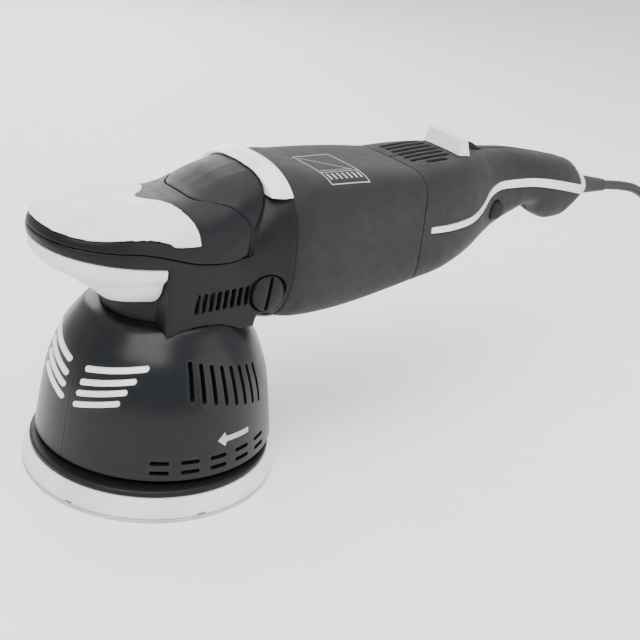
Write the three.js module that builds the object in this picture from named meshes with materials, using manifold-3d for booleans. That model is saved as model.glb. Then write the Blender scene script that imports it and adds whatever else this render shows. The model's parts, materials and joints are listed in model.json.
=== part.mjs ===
// Dual action polisher with a 150 mm plate: head, gear drive, motor, handle and mains cord.
// Millimetres, +Z up. +X points back to the cord, and the origin is on the spindle's axis at the plate's underside.
import * as THREE from 'three';
import { mergeVertices } from 'three/addons/utils/BufferGeometryUtils.js';
import Module from 'manifold-3d';

const wasm = await Module();
wasm.setup();

// ---- driving dimensions ----
const GAP = 0.3;
const WALL = 3;
const DEG = Math.PI / 180;

const PLATE_RADIUS = 75;
const PLATE_SIDES = 36;
const ORBIT = 7.5;
const ORBIT_ANGLE = 223 * DEG;
const PAD_X = ORBIT * Math.cos(ORBIT_ANGLE);
const PAD_Y = ORBIT * Math.sin(ORBIT_ANGLE);
const HOOK_TOP = 1.6;
const FOAM_TOP = 13.5;
const DISC_TOP = 17.4;

const SHROUD_BOTTOM = 20;
const SHROUD_FACETS = 32;
const SHROUD_TURN = 360 / SHROUD_FACETS;
const SHROUD_TOP = 100.5;
const HEAD_HALF_WIDTH = 42;
const NOSE_X = -81;
const HEAD_END_X = 57.7;
const DOME_END_X = 46;
const DOME_CENTRE_X = -30;
const STEP_X = -21.5;
const CORE_RADIUS = 36;
const PAD_SKIN = 4.4;
const COVER_SHELL = 7.2;

const MOTOR_Z = 134;
const HOUSING_FRONT_X = 58;
const HOUSING_END_X = 162.7;
const HANDLE_FRONT_X = 163;
const TAIL_X = 352;

const CROWN_TEETH = 30;
const PINION_TEETH = 10;
const CROWN_RADIUS = 24;
const SPINDLE_RADIUS = 6;
const SHAFT_RADIUS = 4;

const TRIGGER_PIVOT = { x: 238, z: 120.5 };
const BUTTON = { x: 242.3, z: 131.6, radius: 6.5 };
const DIAL = { x: 228, z: 163, radius: 11, halfWidth: 3.5 };

const RELIEF = { z: 129.3, neck: 5, flange: 7.6, length: 29, tilt: 8 };
const RELIEF_AXIS = [0, 0, RELIEF.z];
const CORD_RADIUS = 3.5;
const COIL = { x: 560, y: -52, inner: 29.4, outer: 50.6, height: 42.4 };

// ---- materials ----
function finish(color, roughness, metalness = 0) {
  return new THREE.MeshStandardMaterial({ color, roughness, metalness });
}

const WHITE_RUBBER = finish(0xdfe1e0, 0.6);
const WHITE_PLASTIC = finish(0xe9ebeb, 0.35);
const BLACK_PLASTIC = finish(0x17191b, 0.35);
const GLOSS_BLACK = finish(0x0e1012, 0.2);
const SOFT_GREY = finish(0x3b3b3b, 0.7);
const ALUMINIUM = finish(0xb4b6b8, 0.4, 0.9);
const STEEL = finish(0x8d9093, 0.3, 1);
const BRONZE = finish(0x8a6a35, 0.45, 0.9);
const COPPER = finish(0xb26b3a, 0.4, 0.9);
const LAMINATION = finish(0x55585c, 0.55, 0.8);
const FOAM = finish(0xe9e2df, 0.9);
const HOOK = finish(0xd8d3d0, 0.95);
const CARBON = finish(0x1c1c1e, 0.8);
const BOARD = finish(0x2f5a3a, 0.6);
const CORD_RUBBER = finish(0x1d1e20, 0.6);

// ---- solids ----
function signedVolume(points, faces) {
  let sum = 0;
  const [a, b, c] = [new THREE.Vector3(), new THREE.Vector3(), new THREE.Vector3()];
  for (let i = 0; i < faces.length; i += 3) {
    a.fromArray(points, 3 * faces[i]);
    b.fromArray(points, 3 * faces[i + 1]);
    c.fromArray(points, 3 * faces[i + 2]);
    sum += a.dot(b.cross(c));
  }
  return sum;
}

// A closed three.js geometry as a solid, with its faces pointing out.
function solid(geometry) {
  const bare = geometry.clone();
  bare.deleteAttribute('normal');
  bare.deleteAttribute('uv');
  const merged = mergeVertices(bare, 1e-3);
  const points = merged.attributes.position.array;
  const index = merged.index.array;
  const faces = [];
  for (let i = 0; i < index.length; i += 3) {
    const [a, b, c] = [index[i], index[i + 1], index[i + 2]];
    if (a !== b && b !== c && c !== a) faces.push(a, b, c);
  }
  if (signedVolume(points, faces) < 0) faces.reverse();
  const mesh = new wasm.Mesh({
    numProp: 3,
    vertProperties: new Float32Array(points),
    triVerts: new Uint32Array(faces),
  });
  return new wasm.Manifold(mesh);
}

function join(first, ...others) {
  return others.reduce((sum, other) => sum.add(other), first);
}

function cut(first, ...others) {
  return others.reduce((rest, other) => rest.subtract(other), first);
}

// Turns a geometry made along +Z so that it lies along x, y or z.
function aim(geometry, axis) {
  if (axis === 'x') geometry.rotateY(Math.PI / 2);
  if (axis === 'y') geometry.rotateX(-Math.PI / 2);
  return geometry;
}

// A solid of revolution; the profile's points are [radius, height along the axis].
function turned(axis, profile, centre = [0, 0, 0], sides = 24) {
  const points = profile.map(([r, h]) => new THREE.Vector2(r, h));
  points.push(points[0].clone());
  const geometry = new THREE.LatheGeometry(points, sides).rotateX(Math.PI / 2);
  return solid(aim(geometry, axis).translate(...centre));
}

function rod(axis, radius, from, to, centre = [0, 0, 0], sides = 16) {
  return turned(axis, [[0, from], [radius, from], [radius, to], [0, to]], centre, sides);
}

function sleeve(axis, outer, inner, from, to, centre = [0, 0, 0], sides = 18) {
  return turned(axis, [[inner, from], [outer, from], [outer, to], [inner, to]], centre, sides);
}

function box([x0, x1], [y0, y1], [z0, z1]) {
  const geometry = new THREE.BoxGeometry(x1 - x0, y1 - y0, z1 - z0);
  return solid(geometry.translate((x0 + x1) / 2, (y0 + y1) / 2, (z0 + z1) / 2));
}

// A closed skin: place(t, c, s) gives the point at t from one end to the other, with (c, s) in the unit disc.
function skin(around, along, place) {
  const geometry = new THREE.CylinderGeometry(1, 1, 1, around, along);
  const position = geometry.attributes.position;
  for (let i = 0; i < position.count; i += 1) {
    const point = place(position.getY(i) + 0.5, position.getX(i), position.getZ(i));
    position.setXYZ(i, ...point);
  }
  return solid(geometry);
}

// An outline in the XY plane, raised from low(x) to high(x).
function prism(points, low, high) {
  const shape = new THREE.Shape(points.map(([x, y]) => new THREE.Vector2(x, y)));
  const geometry = new THREE.ExtrudeGeometry(shape, { depth: 1, bevelEnabled: false });
  const position = geometry.attributes.position;
  for (let i = 0; i < position.count; i += 1) {
    const x = position.getX(i);
    position.setZ(i, position.getZ(i) < 0.5 ? low(x) : high(x));
  }
  return solid(geometry);
}

// An outline in the XZ plane, extruded across the tool from y = -half to y = half.
function slab(points, half) {
  const shape = new THREE.Shape(points.map(([x, z]) => new THREE.Vector2(x, z)));
  const geometry = new THREE.ExtrudeGeometry(shape, { depth: 2 * half, bevelEnabled: false });
  return solid(geometry.translate(0, 0, -half).rotateX(Math.PI / 2));
}

function bend(value, power) {
  return Math.sign(value) * Math.abs(value) ** (2 / power);
}

// Reads a table of stations [x, a, b, ...] at x, straight between them.
function station(table, x) {
  let i = 1;
  while (i < table.length - 1 && table[i][0] < x) i += 1;
  const [p, q] = [table[i - 1], table[i]];
  const t = (x - p[0]) / (q[0] - p[0]);
  return p.map((value, k) => value + t * (q[k] - value));
}

// A body lofted along X through stations [x, half width, top, bottom, widest height, fullness].
function body(table, from, to, inset, steps, around = 24) {
  return skin(around, steps, (t, c, s) => {
    const [x, width, top, bottom, mid, full] = station(table, from + t * (to - from));
    const rise = s > 0 ? top - mid - inset : mid - bottom - inset;
    return [x, (width - inset) * bend(c, full), mid + rise * bend(s, full)];
  });
}

// ---- head ----
const baseLine = (x) => 150.5 - 0.165 * (x - NOSE_X);
const rimLine = (x) => 148 - 0.175 * (x - NOSE_X);
// Side lines, x and z: the cover's lower edge and the top pad's.
const COVER_LINE = [
  [-101, 156], [-81, 153.5], [-64, 151.6], [-48, 150], [-38, 148.7], [-27, 145.7], [-15, 141.7],
  [-4, 138.3], [8, 136.4], [19, 135.8], [29, 137], [60, 141],
];
const PAD_LINE = [[-101, 167], [-75, 162.8], [-45, 157.6], [-32, 155.4], [-22, 152.3], [-10, 148.7], [60, 146]];
// Plan lines, |y| and x: the same two pieces' rear edges.
const COVER_EDGE = [
  [0, 6], [10, 6], [16, 7.7], [24, 14.4], [31, 21.7], [36.3, 26.8], [39, 30.5], [40.5, 32], [60, 33],
];
const PAD_EDGE = [
  [0, -21], [4, -18.5], [8, -13.5], [12, -9.5], [16, -7.2], [27, -4.6], [35, -2.6], [39, -2.2], [60, -3],
];
const HEAD_TOP = [
  [-81, 166.5], [-62, 168], [-45, 167], [-33, 165.8], [-20, 165.2], [0, 165], [10, 167], [20, 171], [30, 175.5],
  [60, 183],
];

function headOutline(c, s, inset) {
  const front = DOME_CENTRE_X - NOSE_X - inset;
  const rear = DOME_END_X - DOME_CENTRE_X - inset;
  const full = c < 0 ? 2.25 : 6;
  const x = DOME_CENTRE_X + (c < 0 ? front : rear) * bend(c, full);
  return [x, (HEAD_HALF_WIDTH - inset) * bend(s, full)];
}

// The head's upper form: domed in front over its plan outline, and an even arch towards the rear.
function dome(inset) {
  return skin(24, 6, (t, c, s) => {
    const [edgeX, edgeY] = headOutline(c, s, inset);
    const share = Math.cos(t * 83 * DEG);
    const [x, y] = [DOME_CENTRE_X + share * (edgeX - DOME_CENTRE_X), share * edgeY];
    const across = c > 0 ? Math.abs(y) / (HEAD_HALF_WIDTH - inset) : share;
    const lift = t > 0 ? (1 - across ** 2.8) ** (1 / 2.8) : 0;
    const top = station(HEAD_TOP, x)[1] - inset;
    return [x, y, baseLine(x) + (top - baseLine(x)) * lift];
  });
}

// The lower pad's form: the same outline, rounded off downwards.
function chin(inset) {
  return skin(24, 4, (t, c, s) => {
    const [edgeX, edgeY] = headOutline(c, s, inset + 1);
    const share = Math.cos(t * 80 * DEG);
    const x = DOME_CENTRE_X + share * (edgeX - DOME_CENTRE_X);
    const drop = (1 - share ** 2.2) ** (1 / 2.2);
    return [x, share * edgeY, rimLine(x) - GAP - inset / 3 - (28 - inset) * drop];
  });
}

// Everything above a side line and in front of a rear edge, both moved outwards by spread.
function frontRegion(line, edge, spread) {
  const side = line.map(([x, z]) => [x, z + GAP / 2 - spread]);
  const near = edge.map(([y, x]) => [x + spread, -y]).reverse();
  const far = edge.slice(1).map(([y, x]) => [x + spread, y]);
  const plan = prism([[NOSE_X - 20, -60], ...near, ...far, [NOSE_X - 20, 60]], () => 100, () => 215);
  return slab([...side, [60, 220], [NOSE_X - 20, 220]], 70).intersect(plan);
}

const coverRegion = frontRegion(COVER_LINE, COVER_EDGE, 0);
const coverRoom = frontRegion(COVER_LINE, COVER_EDGE, GAP);
const padRegion = frontRegion(PAD_LINE, PAD_EDGE, 0);
const padRoom = frontRegion(PAD_LINE, PAD_EDGE, GAP);

const COLLAR = [
  [20, 41, 148, 99, 125, 3], [27, 42, 152, 96, 128, 3], [36, 43, 162, 93, 132, 2.8], [45, 44.8, 172, 90, 136, 2.7],
  [57.7, 48, 180.5, 85, 138, 2.6],
];

function shroudForm(extra) {
  const profile = [
    [0, SHROUD_TOP + extra], [39 + extra, SHROUD_TOP + extra], [44 + extra, 98.5], [50 + extra, 91.5],
    [56 + extra, 83], [60.5 + extra, 73], [65 + extra, 59], [68 + extra, 40], [70.5 + extra, SHROUD_BOTTOM],
    [0, SHROUD_BOTTOM],
  ];
  return turned('z', profile, [0, 0, 0], SHROUD_FACETS);
}

const palmPadTop = cut(dome(-0.8).intersect(padRegion), dome(PAD_SKIN));

const upperCover = cut(
  join(cut(dome(0), padRoom), dome(PAD_SKIN + GAP)).intersect(coverRegion),
  dome(COVER_SHELL),
);

const palmPadLower = cut(
  chin(0),
  rod('z', CORE_RADIUS + GAP, 90, 150, [0, 0, 0], 48),
  box([STEP_X - GAP, 80], [-60, 60], [80, 160]),
  chin(9).intersect(box([-100, -30], [-60, 60], [80, 160])),
);

function headCore(inset) {
  const half = HEAD_HALF_WIDTH - inset;
  const radius = CORE_RADIUS - inset;
  const start = Math.acos((STEP_X + inset) / radius);
  const points = [[50, -half], [50, half], [STEP_X + inset, half]];
  for (let i = 0; i <= 8; i += 1) {
    const angle = start + (i / 8) * 2 * (Math.PI - start);
    points.push([radius * Math.cos(angle), radius * Math.sin(angle)]);
  }
  points.push([STEP_X + inset, -half]);
  return points;
}

function frontRim() {
  const points = [];
  for (let i = 0; i <= 24; i += 1) {
    const angle = (90 + 7.5 * i) * DEG;
    points.push(headOutline(Math.cos(angle), Math.sin(angle), 0.4));
  }
  return prism(points, rimLine, (x) => baseLine(x) + 2);
}

const SLOT_COUNT = 8;
const SLOT_PITCH = 4.7;

function headSlots(side) {
  const slots = [];
  for (let i = 0; i < SLOT_COUNT; i += 1) {
    const x = -3 + i * SLOT_PITCH;
    const outline = [[x - 1.2, 108], [x + 1.2, 108], [x + 2.2, 119.5], [x - 0.2, 119.5]];
    slots.push(slab(outline, 5).translate([0, side * HEAD_HALF_WIDTH, 0]));
  }
  return slots;
}

const PLUG_X = 44;
const PLUG_Z = 113.5;
const PLUG_RADIUS = 11;

function plugRoom(side) {
  return rod('y', PLUG_RADIUS + GAP, 37, 60, [PLUG_X, 0, PLUG_Z]).scale([1, side, 1]);
}

const core = cut(
  prism(headCore(0), () => 93, (x) => baseLine(x) + 1),
  slab([[34, 80], [39, 100], [62, 100], [62, 80]], 60),
);

const headHousing = cut(
  join(
    cut(dome(0), coverRoom),
    body(COLLAR, 20, HEAD_END_X, 0, 4),
    core,
    frontRim(),
  ),
  coverRoom,
  shroudForm(GAP),
  rod('z', 33, 90, 150, [0, 0, 0], 28),
  dome(COVER_SHELL),
  prism(headCore(WALL), () => 103, (x) => baseLine(x) + 1),
  body(COLLAR, 21, HEAD_END_X + 1, WALL, 4, 20),
  ...headSlots(-1),
  ...headSlots(1),
  plugRoom(-1),
  plugRoom(1),
);

function socketPlug(side) {
  const plug = join(
    rod('y', PLUG_RADIUS, 40, 44.5, [PLUG_X, 0, PLUG_Z]),
    rod('y', 6, 32, 40.5, [PLUG_X, 0, PLUG_Z]),
  );
  const coinSlot = box([PLUG_X - 1.3, PLUG_X + 1.3], [42.5, 46], [PLUG_Z - 9, PLUG_Z + 9]);
  return cut(plug, coinSlot).scale([1, side, 1]);
}

// The white band stands proud of the collar; only its top and bottom arches show.
const BAND = [[44, 47, 183, 87, 138, 2.7], [57.7, 49.5, 185, 84, 138, 2.6]];
const bandRing = cut(body(BAND, 46, HEAD_END_X, 0, 1), body(COLLAR, 45, 58, -GAP, 1));
const frontTrimBand = bandRing.intersect(box([40, 60], [-60, 60], [170, 200]));
const lowerTrimBand = cut(bandRing.intersect(box([40, 60], [-60, 60], [70, 92])), shroudForm(GAP));

// ---- shroud: two halves that meet at the front and the back, turned a little round the spindle ----
const SIDE_SLOTS = { count: 8, angle: 245.7, pitch: 6.5, low: [65.5, 51.5], high: [86, 75] };
const LOWER_SLOTS = { count: 5, angle: 230.5, pitch: 14.6, heights: [24.7, 30.5] };
const RIBS = [
  { angle: 203.6, z: 79.1, length: 37, tilt: 11.6 },
  { angle: 200.4, z: 71.8, length: 34, tilt: 13.6 },
  { angle: 198.2, z: 65.4, length: 31.5, tilt: 15 },
  { angle: 196.5, z: 58.8, length: 30, tilt: 16.4 },
];
const RIB_HALF_HEIGHT = 1.5;

function shroudInside() {
  const profile = [
    [0, SHROUD_TOP - 3.5], [38, SHROUD_TOP - 3.5], [47, 89.5], [53, 81], [57.5, 71.5], [62, 58],
    [65, 40], [67.5, SHROUD_BOTTOM - 1], [0, SHROUD_BOTTOM - 1],
  ];
  return turned('z', profile, [0, 0, 0], SHROUD_FACETS);
}

function radialBlock(angle, reach, width, [z0, z1]) {
  return box(reach, [-width / 2, width / 2], [z0, z1]).rotate([0, 0, angle]);
}

function ribBlocks(spread) {
  const half = RIB_HALF_HEIGHT + spread;
  return RIBS.map(({ angle, z, length, tilt }) => (
    box([40, 80], [-length / 2 - spread, length / 2 + spread], [-half, half])
      .rotate([tilt, 0, 0])
      .translate([0, 0, z])
      .rotate([0, 0, angle])
  ));
}

function sideSlots() {
  return [...Array(SIDE_SLOTS.count).keys()].map((i) => {
    const t = i / (SIDE_SLOTS.count - 1);
    const [low, high] = [SIDE_SLOTS.low, SIDE_SLOTS.high].map(([a, b]) => a + t * (b - a));
    return radialBlock(SIDE_SLOTS.angle + i * SIDE_SLOTS.pitch, [45, 80], 2.6, [low, high]);
  });
}

function lowerSlots(z) {
  return [...Array(LOWER_SLOTS.count).keys()].map((i) => (
    radialBlock(LOWER_SLOTS.angle + i * LOWER_SLOTS.pitch, [50, 80], 11, [z - 1.2, z + 1.2])
  ));
}

const shroudShell = cut(shroudForm(0), shroudInside(), rod('z', 26.9, 90, 105, [0, 0, 0], 20));
const leftSide = box([-90, 90], [-90, -GAP / 2], [0, 120]);

const shroudHalf = cut(
  shroudShell.intersect(leftSide),
  ...sideSlots(),
  ...LOWER_SLOTS.heights.flatMap(lowerSlots),
  ...ribBlocks(GAP),
);

// Four slanted ribs on a thin web that lies inside the shroud wall.
function ribInsert() {
  const web = cut(shroudInside().scale([0.991, 0.991, 1]), shroudInside().scale([0.965, 0.965, 1]));
  const window = box([40, 80], [-20, 20], [50, 88]).rotate([0, 0, RIBS[1].angle]);
  const inner = shroudInside().scale([0.98, 0.98, 1]);
  const ribs = ribBlocks(0).map((rib) => cut(rib.intersect(shroudForm(1.1)), inner));
  return join(web.intersect(window), ...ribs);
}

const ribHalf = ribInsert().intersect(box([-90, 90], [-90, -1], [0, 120]));
const turnShroud = (shape) => shape.rotate([0, 0, SHROUD_TURN]);

// ---- gear case, spindle and crown wheel ----
const gearCase = cut(
  join(
    rod('z', 30, 100.8, 146, [0, 0, 0], 32),
    rod('z', 26, 94, 101, [0, 0, 0], 28),
    rod('x', 15, 10, 54, [0, 0, MOTOR_Z]),
  ),
  rod('z', 26, 112, 160, [0, 0, 0], 28),
  rod('z', 14.3, 101.7, 113),
  rod('z', 7, 90, 103),
  rod('x', 10.5, 10, 46, [0, 0, MOTOR_Z]),
  rod('x', 11.3, 44, 60, [0, 0, MOTOR_Z]),
);

const gearCaseCover = cut(
  join(
    rod('z', 30, 146.3, 148.2, [0, 0, 0], 32),
    rod('z', 25.7, 144.5, 147, [0, 0, 0], 28),
    rod('z', 13.5, 148, 156.7),
  ),
  rod('z', 11.3, 140, 155.5),
  rod('x', 15.3, 22, 60, [0, 0, MOTOR_Z]),
);

// A ball bearing, with its shield sunk between the two races on the side that shows.
function bearing(axis, bore, outer, from, to, centre = [0, 0, 0]) {
  const race = (outer - bore) / 4;
  const profile = [
    [bore, from], [bore + race, from], [bore + race, from + 0.7], [outer - race, from + 0.7],
    [outer - race, from], [outer, from], [outer, to], [bore, to],
  ];
  return turned(axis, profile, centre, 16);
}

const driveSpindle = join(
  rod('z', SPINDLE_RADIUS, 60, 147),
  rod('z', 3.7, 147, 155),
);

// Straight bevel teeth: the tooth outline shrinks towards the point where the two axes cross.
function bevelTeeth(teeth, coneAngle, phase) {
  const pitchRadius = CROWN_RADIUS * (teeth / CROWN_TEETH);
  const distance = pitchRadius / Math.tan(coneAngle);
  const tooth = (2 * CROWN_RADIUS) / CROWN_TEETH;
  const outline = [];
  for (let i = 0; i < teeth; i += 1) {
    for (const [share, height] of [[-0.26, -1.2], [-0.1, 0.9], [0.1, 0.9], [0.26, -1.2]]) {
      const angle = ((i + share + phase) / teeth) * 2 * Math.PI;
      const radius = pitchRadius + height * tooth * Math.cos(coneAngle);
      outline.push(new THREE.Vector2(radius * Math.cos(angle), radius * Math.sin(angle)));
    }
  }
  const options = { depth: 1, bevelEnabled: false };
  const geometry = new THREE.ExtrudeGeometry(new THREE.Shape(outline), options);
  const position = geometry.attributes.position;
  for (let i = 0; i < position.count; i += 1) {
    const [x, y] = [position.getX(i), position.getY(i)];
    const height = (Math.hypot(x, y) - pitchRadius) / Math.cos(coneAngle);
    const scale = 1 - position.getZ(i) / 3;
    const depth = distance - height * Math.sin(coneAngle);
    position.setXYZ(i, x * scale, y * scale, depth * scale);
  }
  return geometry;
}

const crownCone = Math.atan(CROWN_TEETH / PINION_TEETH);
const pinionCone = Math.atan(PINION_TEETH / CROWN_TEETH);

const crownWheel = cut(
  join(
    solid(bevelTeeth(CROWN_TEETH, crownCone, 0.5).rotateX(Math.PI).translate(0, 0, MOTOR_Z)),
    rod('z', 17, MOTOR_Z - 13, MOTOR_Z - 7.1, [0, 0, 0], 24),
    rod('z', 11, MOTOR_Z - 19, MOTOR_Z - 7),
  ),
  rod('z', SPINDLE_RADIUS + GAP, 90, 150),
);

const drivePinion = cut(
  solid(aim(bevelTeeth(PINION_TEETH, pinionCone, 0), 'x').translate(0, 0, MOTOR_Z)),
  rod('x', 3.1, 0, 40, [0, 0, MOTOR_Z]),
);

// ---- eccentric drive and plate ----
const pad = [PAD_X, PAD_Y, 0];

const eccentricCarrier = cut(
  join(
    rod('z', 13, 58, 90),
    rod('z', 20.5, 31, 60, pad),
  ),
  rod('z', SPINDLE_RADIUS + GAP, 59.7, 95),
  rod('z', 16.3, 30, 56, pad),
);

const counterweight = cut(
  sleeve('z', 46, 13.3, 64, 82, [0, 0, 0], 32),
  box([-60, -4], [-60, 60], [60, 90]).rotate([0, 0, ORBIT_ANGLE / DEG + 180]),
);

const padSpindle = cut(
  join(rod('z', 7.2, 27, 55.2, pad), rod('z', 13, 20.3, 31.5, pad), rod('z', 20, 20.3, 25, pad)),
  rod('z', 4.3, 10, 44, pad),
);

const backingDisc = cut(
  turned('z', [
    [4.4, FOAM_TOP + GAP], [70.5, FOAM_TOP + GAP], [71, DISC_TOP - 1.4], [70, DISC_TOP],
    [30, DISC_TOP], [24, 20], [4.4, 20],
  ], pad, PLATE_SIDES),
);

const backingFoam = turned('z', [
  [7.6, HOOK_TOP + GAP + 4], [7.6, HOOK_TOP + GAP], [74.6, HOOK_TOP + GAP], [75, 4], [73.6, 9],
  [71.2, FOAM_TOP], [7.6, FOAM_TOP],
], pad, PLATE_SIDES);

const hookFace = turned('z', [[4.5, 0], [PLATE_RADIUS, 0], [PLATE_RADIUS, HOOK_TOP], [4.5, HOOK_TOP]], pad, PLATE_SIDES);

const plateScrew = cut(
  join(rod('z', 4, 13, 40, pad, 20), rod('z', 7.2, 7, 13.5, pad, 20)),
  rod('z', 3, 5, 11, pad, 6),
);

// ---- motor ----
const axis = [0, 0, MOTOR_Z];
const armatureShaft = join(
  rod('x', 2.8, 14, 27, axis),
  rod('x', SHAFT_RADIUS - GAP, 26.5, 166, axis),
);

function armatureCore() {
  const slots = [...Array(12).keys()].map((i) => (
    box([80, 130], [-1.1, 1.1], [13, 25]).rotate([30 * i, 0, 0]).translate(axis)
  ));
  return cut(sleeve('x', 19.6, SHAFT_RADIUS, 84, 128, axis, 24), ...slots);
}

function windingHead(from, to) {
  const [low, high] = [Math.min(from, to), Math.max(from, to)];
  const profile = [
    [SHAFT_RADIUS, low], [12, low], [17.5, low + 3], [17.5, high - 3], [12, high], [SHAFT_RADIUS, high],
  ];
  return turned('x', profile, axis, 20);
}

function motorFan() {
  const blades = [...Array(8).keys()].map((i) => (
    box([60, 69], [-0.9, 0.9], [11, 31]).rotate([45 * i, 0, 0]).translate(axis)
  ));
  return join(sleeve('x', 32, SHAFT_RADIUS, 58.5, 61, axis, 28), sleeve('x', 12, SHAFT_RADIUS, 58.5, 69, axis), ...blades);
}

// A sector of a ring round the motor's axis, between two angles from the +Y side.
function sector(outer, inner, from, to, [x0, x1], sides = 12) {
  const points = [];
  for (let i = 0; i <= sides; i += 1) {
    const angle = (from + (i / sides) * (to - from)) * DEG;
    points.push([outer * Math.cos(angle), outer * Math.sin(angle)]);
  }
  for (let i = sides; i >= 0; i -= 1) {
    const angle = (from + (i / sides) * (to - from)) * DEG;
    points.push([inner * Math.cos(angle), inner * Math.sin(angle)]);
  }
  const shape = new THREE.Shape(points.map(([y, z]) => new THREE.Vector2(y, z)));
  const geometry = new THREE.ExtrudeGeometry(shape, { depth: x1 - x0, bevelEnabled: false });
  geometry.rotateX(Math.PI / 2).rotateZ(Math.PI / 2);
  return solid(geometry.translate(x0, 0, MOTOR_Z));
}

const STATOR = [84, 128];

function fieldStator() {
  const openings = [0, 180].map((turn) => sector(31.3, 10, turn - 34, turn + 34, [80, 132], 6));
  const channels = [34, 129, 214, 309].map((from) => sector(31.3, 23.7, from - 1, from + 18, [80, 132], 3));
  return cut(sleeve('x', 35, 20.4, ...STATOR, axis, 28), ...openings, ...channels);
}

function fieldCoil(side) {
  const ring = sector(31, 24, 35, 145, [74, 138], 12);
  const window = sector(40, 20, 52, 128, [STATOR[0] - GAP, STATOR[1] + GAP], 6);
  return cut(ring, window).translate([0, 0, -MOTOR_Z]).scale([1, 1, side]).translate(axis);
}

const brushFrame = cut(
  join(
    sleeve('x', 32, 16, 152.5, 155, axis, 24),
    box([140, 153], [14, 31], [MOTOR_Z - 6, MOTOR_Z + 6]),
    box([140, 153], [-31, -14], [MOTOR_Z - 6, MOTOR_Z + 6]),
  ),
  box([142.2, 149.8], [-40, 40], [MOTOR_Z - 3.8, MOTOR_Z + 3.8]),
);

function brush(side) {
  return box([142.5, 149.5], [12.4, 30], [MOTOR_Z - 3.5, MOTOR_Z + 3.5]).scale([1, side, 1]);
}

const HOUSING = [
  [58, 47, 178, 86, 136, 2.8], [70, 48, 178, 85, 136, 3.3], [90, 47, 175.5, 86, 135, 4],
  [115, 44.5, 174, 88, 134, 4.6], [140, 42, 172, 91, 133, 5], [162.7, 40, 169.5, 94, 132, 5.2],
];

function motorHousing() {
  const webs = join(
    body(HOUSING, 100, 104, 1.5, 1),
    body(HOUSING, 156, 159, 1.5, 1),
    rod('x', 14.5, 156, 162, axis),
  );
  const holes = [45, 135, 225, 315].map((angle) => (
    rod('x', 5, 90, 165, [0, 0, 0], 12).translate([0, 0, 24]).rotate([angle, 0, 0]).translate(axis)
  ));
  const stator = rod('x', 35.3, 95, 110, axis, 24);
  const shell = cut(body(HOUSING, HOUSING_FRONT_X, HOUSING_END_X, 0, 4), body(HOUSING, 57, 164, WALL, 4, 20));
  return cut(join(shell, webs), stator, rod('x', 11.3, 157.7, 165, axis), rod('x', 5, 150, 160, axis), ...holes);
}

// ---- handle ----
const HANDLE = [
  [163, 40, 169.5, 94, 132, 5.2], [187, 38.5, 171, 95.5, 133, 4.4], [206, 35.5, 171.5, 98, 135, 3.6],
  [222, 31, 170.5, 101, 138, 3.1], [236, 26, 168.5, 106, 141, 2.8], [250, 22.5, 167, 112.5, 143, 2.6],
  [267, 20.5, 165.5, 119, 143, 2.5], [285, 19.5, 162.5, 124, 142, 2.5], [292, 19.5, 161, 123.5, 141, 2.5],
  [304, 19.5, 158.5, 114, 138, 2.5], [315, 18.5, 156, 109.5, 136, 2.5], [325, 17, 153.5, 109.5, 134, 2.5],
  [335, 15, 149.5, 114, 132, 2.4], [345, 11.5, 142, 120.5, 130.5, 2.3], [352, 7.5, 136.5, 124.5, 129.5, 2.2],
];
const TRIGGER_ROOM = [[231.5, 60], [231.5, 131], [288, 131], [288, 60]];
const STRIPE = [
  [171, 132.5], [187, 131.6], [204, 131.7], [216, 133.2], [225, 138], [232, 144.5], [243, 147.8],
  [260, 147], [285, 144.4], [310, 139.4], [342, 130.5],
];

function handleForm(inset, from = HANDLE_FRONT_X, to = TAIL_X) {
  return body(HANDLE, from, to, inset, 13, 18);
}

// The stripe's outline: its centre line, widened towards the tail, which it wraps.
function stripeOutline(spread) {
  const half = (x) => 2 + (x - 171) / 120 + spread;
  const front = [STRIPE[0][0] - spread, STRIPE[0][1]];
  const upper = STRIPE.map(([x, z]) => [x - spread, z + half(x)]);
  const lower = STRIPE.map(([x, z]) => [x, z - half(x)]);
  const inner = [[339, 139], [333, 148], [326, 160]].map(([x, z]) => [x - 3 * spread, z - spread]);
  const outer = [[380, 160], [380, 120], [356, 122 - spread]];
  return [front, ...upper, ...inner, ...outer, ...lower.reverse()];
}

const trimRoom = cut(slab(stripeOutline(GAP), 60), handleForm(1.6, 164, TAIL_X + 1));
const handleTrim = cut(
  slab(stripeOutline(0), 60).intersect(handleForm(-0.5, 166, TAIL_X)),
  handleForm(1.3, 165, TAIL_X + 1),
  rod('x', RELIEF.neck + GAP, 330, 360, RELIEF_AXIS),
  rod('x', RELIEF.flange + GAP, 335, 349, RELIEF_AXIS),
);

const ventSlots = [-18, -12, -6, 0, 6, 12, 18].map((y) => (
  box([y > -18 ? 170 : 178, y > -18 ? 203 : 196], [y - 1.3, y + 1.3], [160, 180])
));

const handleShell = cut(
  handleForm(0),
  handleForm(WALL, HANDLE_FRONT_X - 1, 346),
  trimRoom,
  slab(TRIGGER_ROOM, 13),
  box([DIAL.x - 14, DIAL.x + 14], [-4.2, 4.2], [140, 190]),
  rod('y', BUTTON.radius + GAP, -60, 0, [BUTTON.x, 0, BUTTON.z]),
  rod('x', RELIEF.neck + GAP, 335, 380, RELIEF_AXIS),
  rod('x', RELIEF.flange + GAP, 335, 349, RELIEF_AXIS),
  ...ventSlots,
);
const handleLeft = handleShell.intersect(box([150, 400], [-60, -GAP / 2], [50, 200]));
const handleRight = handleShell.intersect(box([150, 400], [GAP / 2, 60], [50, 200]));

const CAP = { x: 211.5, low: [160, 9.5, 19.5], high: [181.5, 3.2, 16.5] };
const rearCap = cut(
  skin(20, 1, (t, c, s) => {
    const [z, halfX, halfY] = CAP.low.map((value, i) => value + t * (CAP.high[i] - value));
    return [CAP.x + halfX * bend(c, 6), halfY * bend(s, 6), z];
  }),
  handleForm(-GAP),
);

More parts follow.
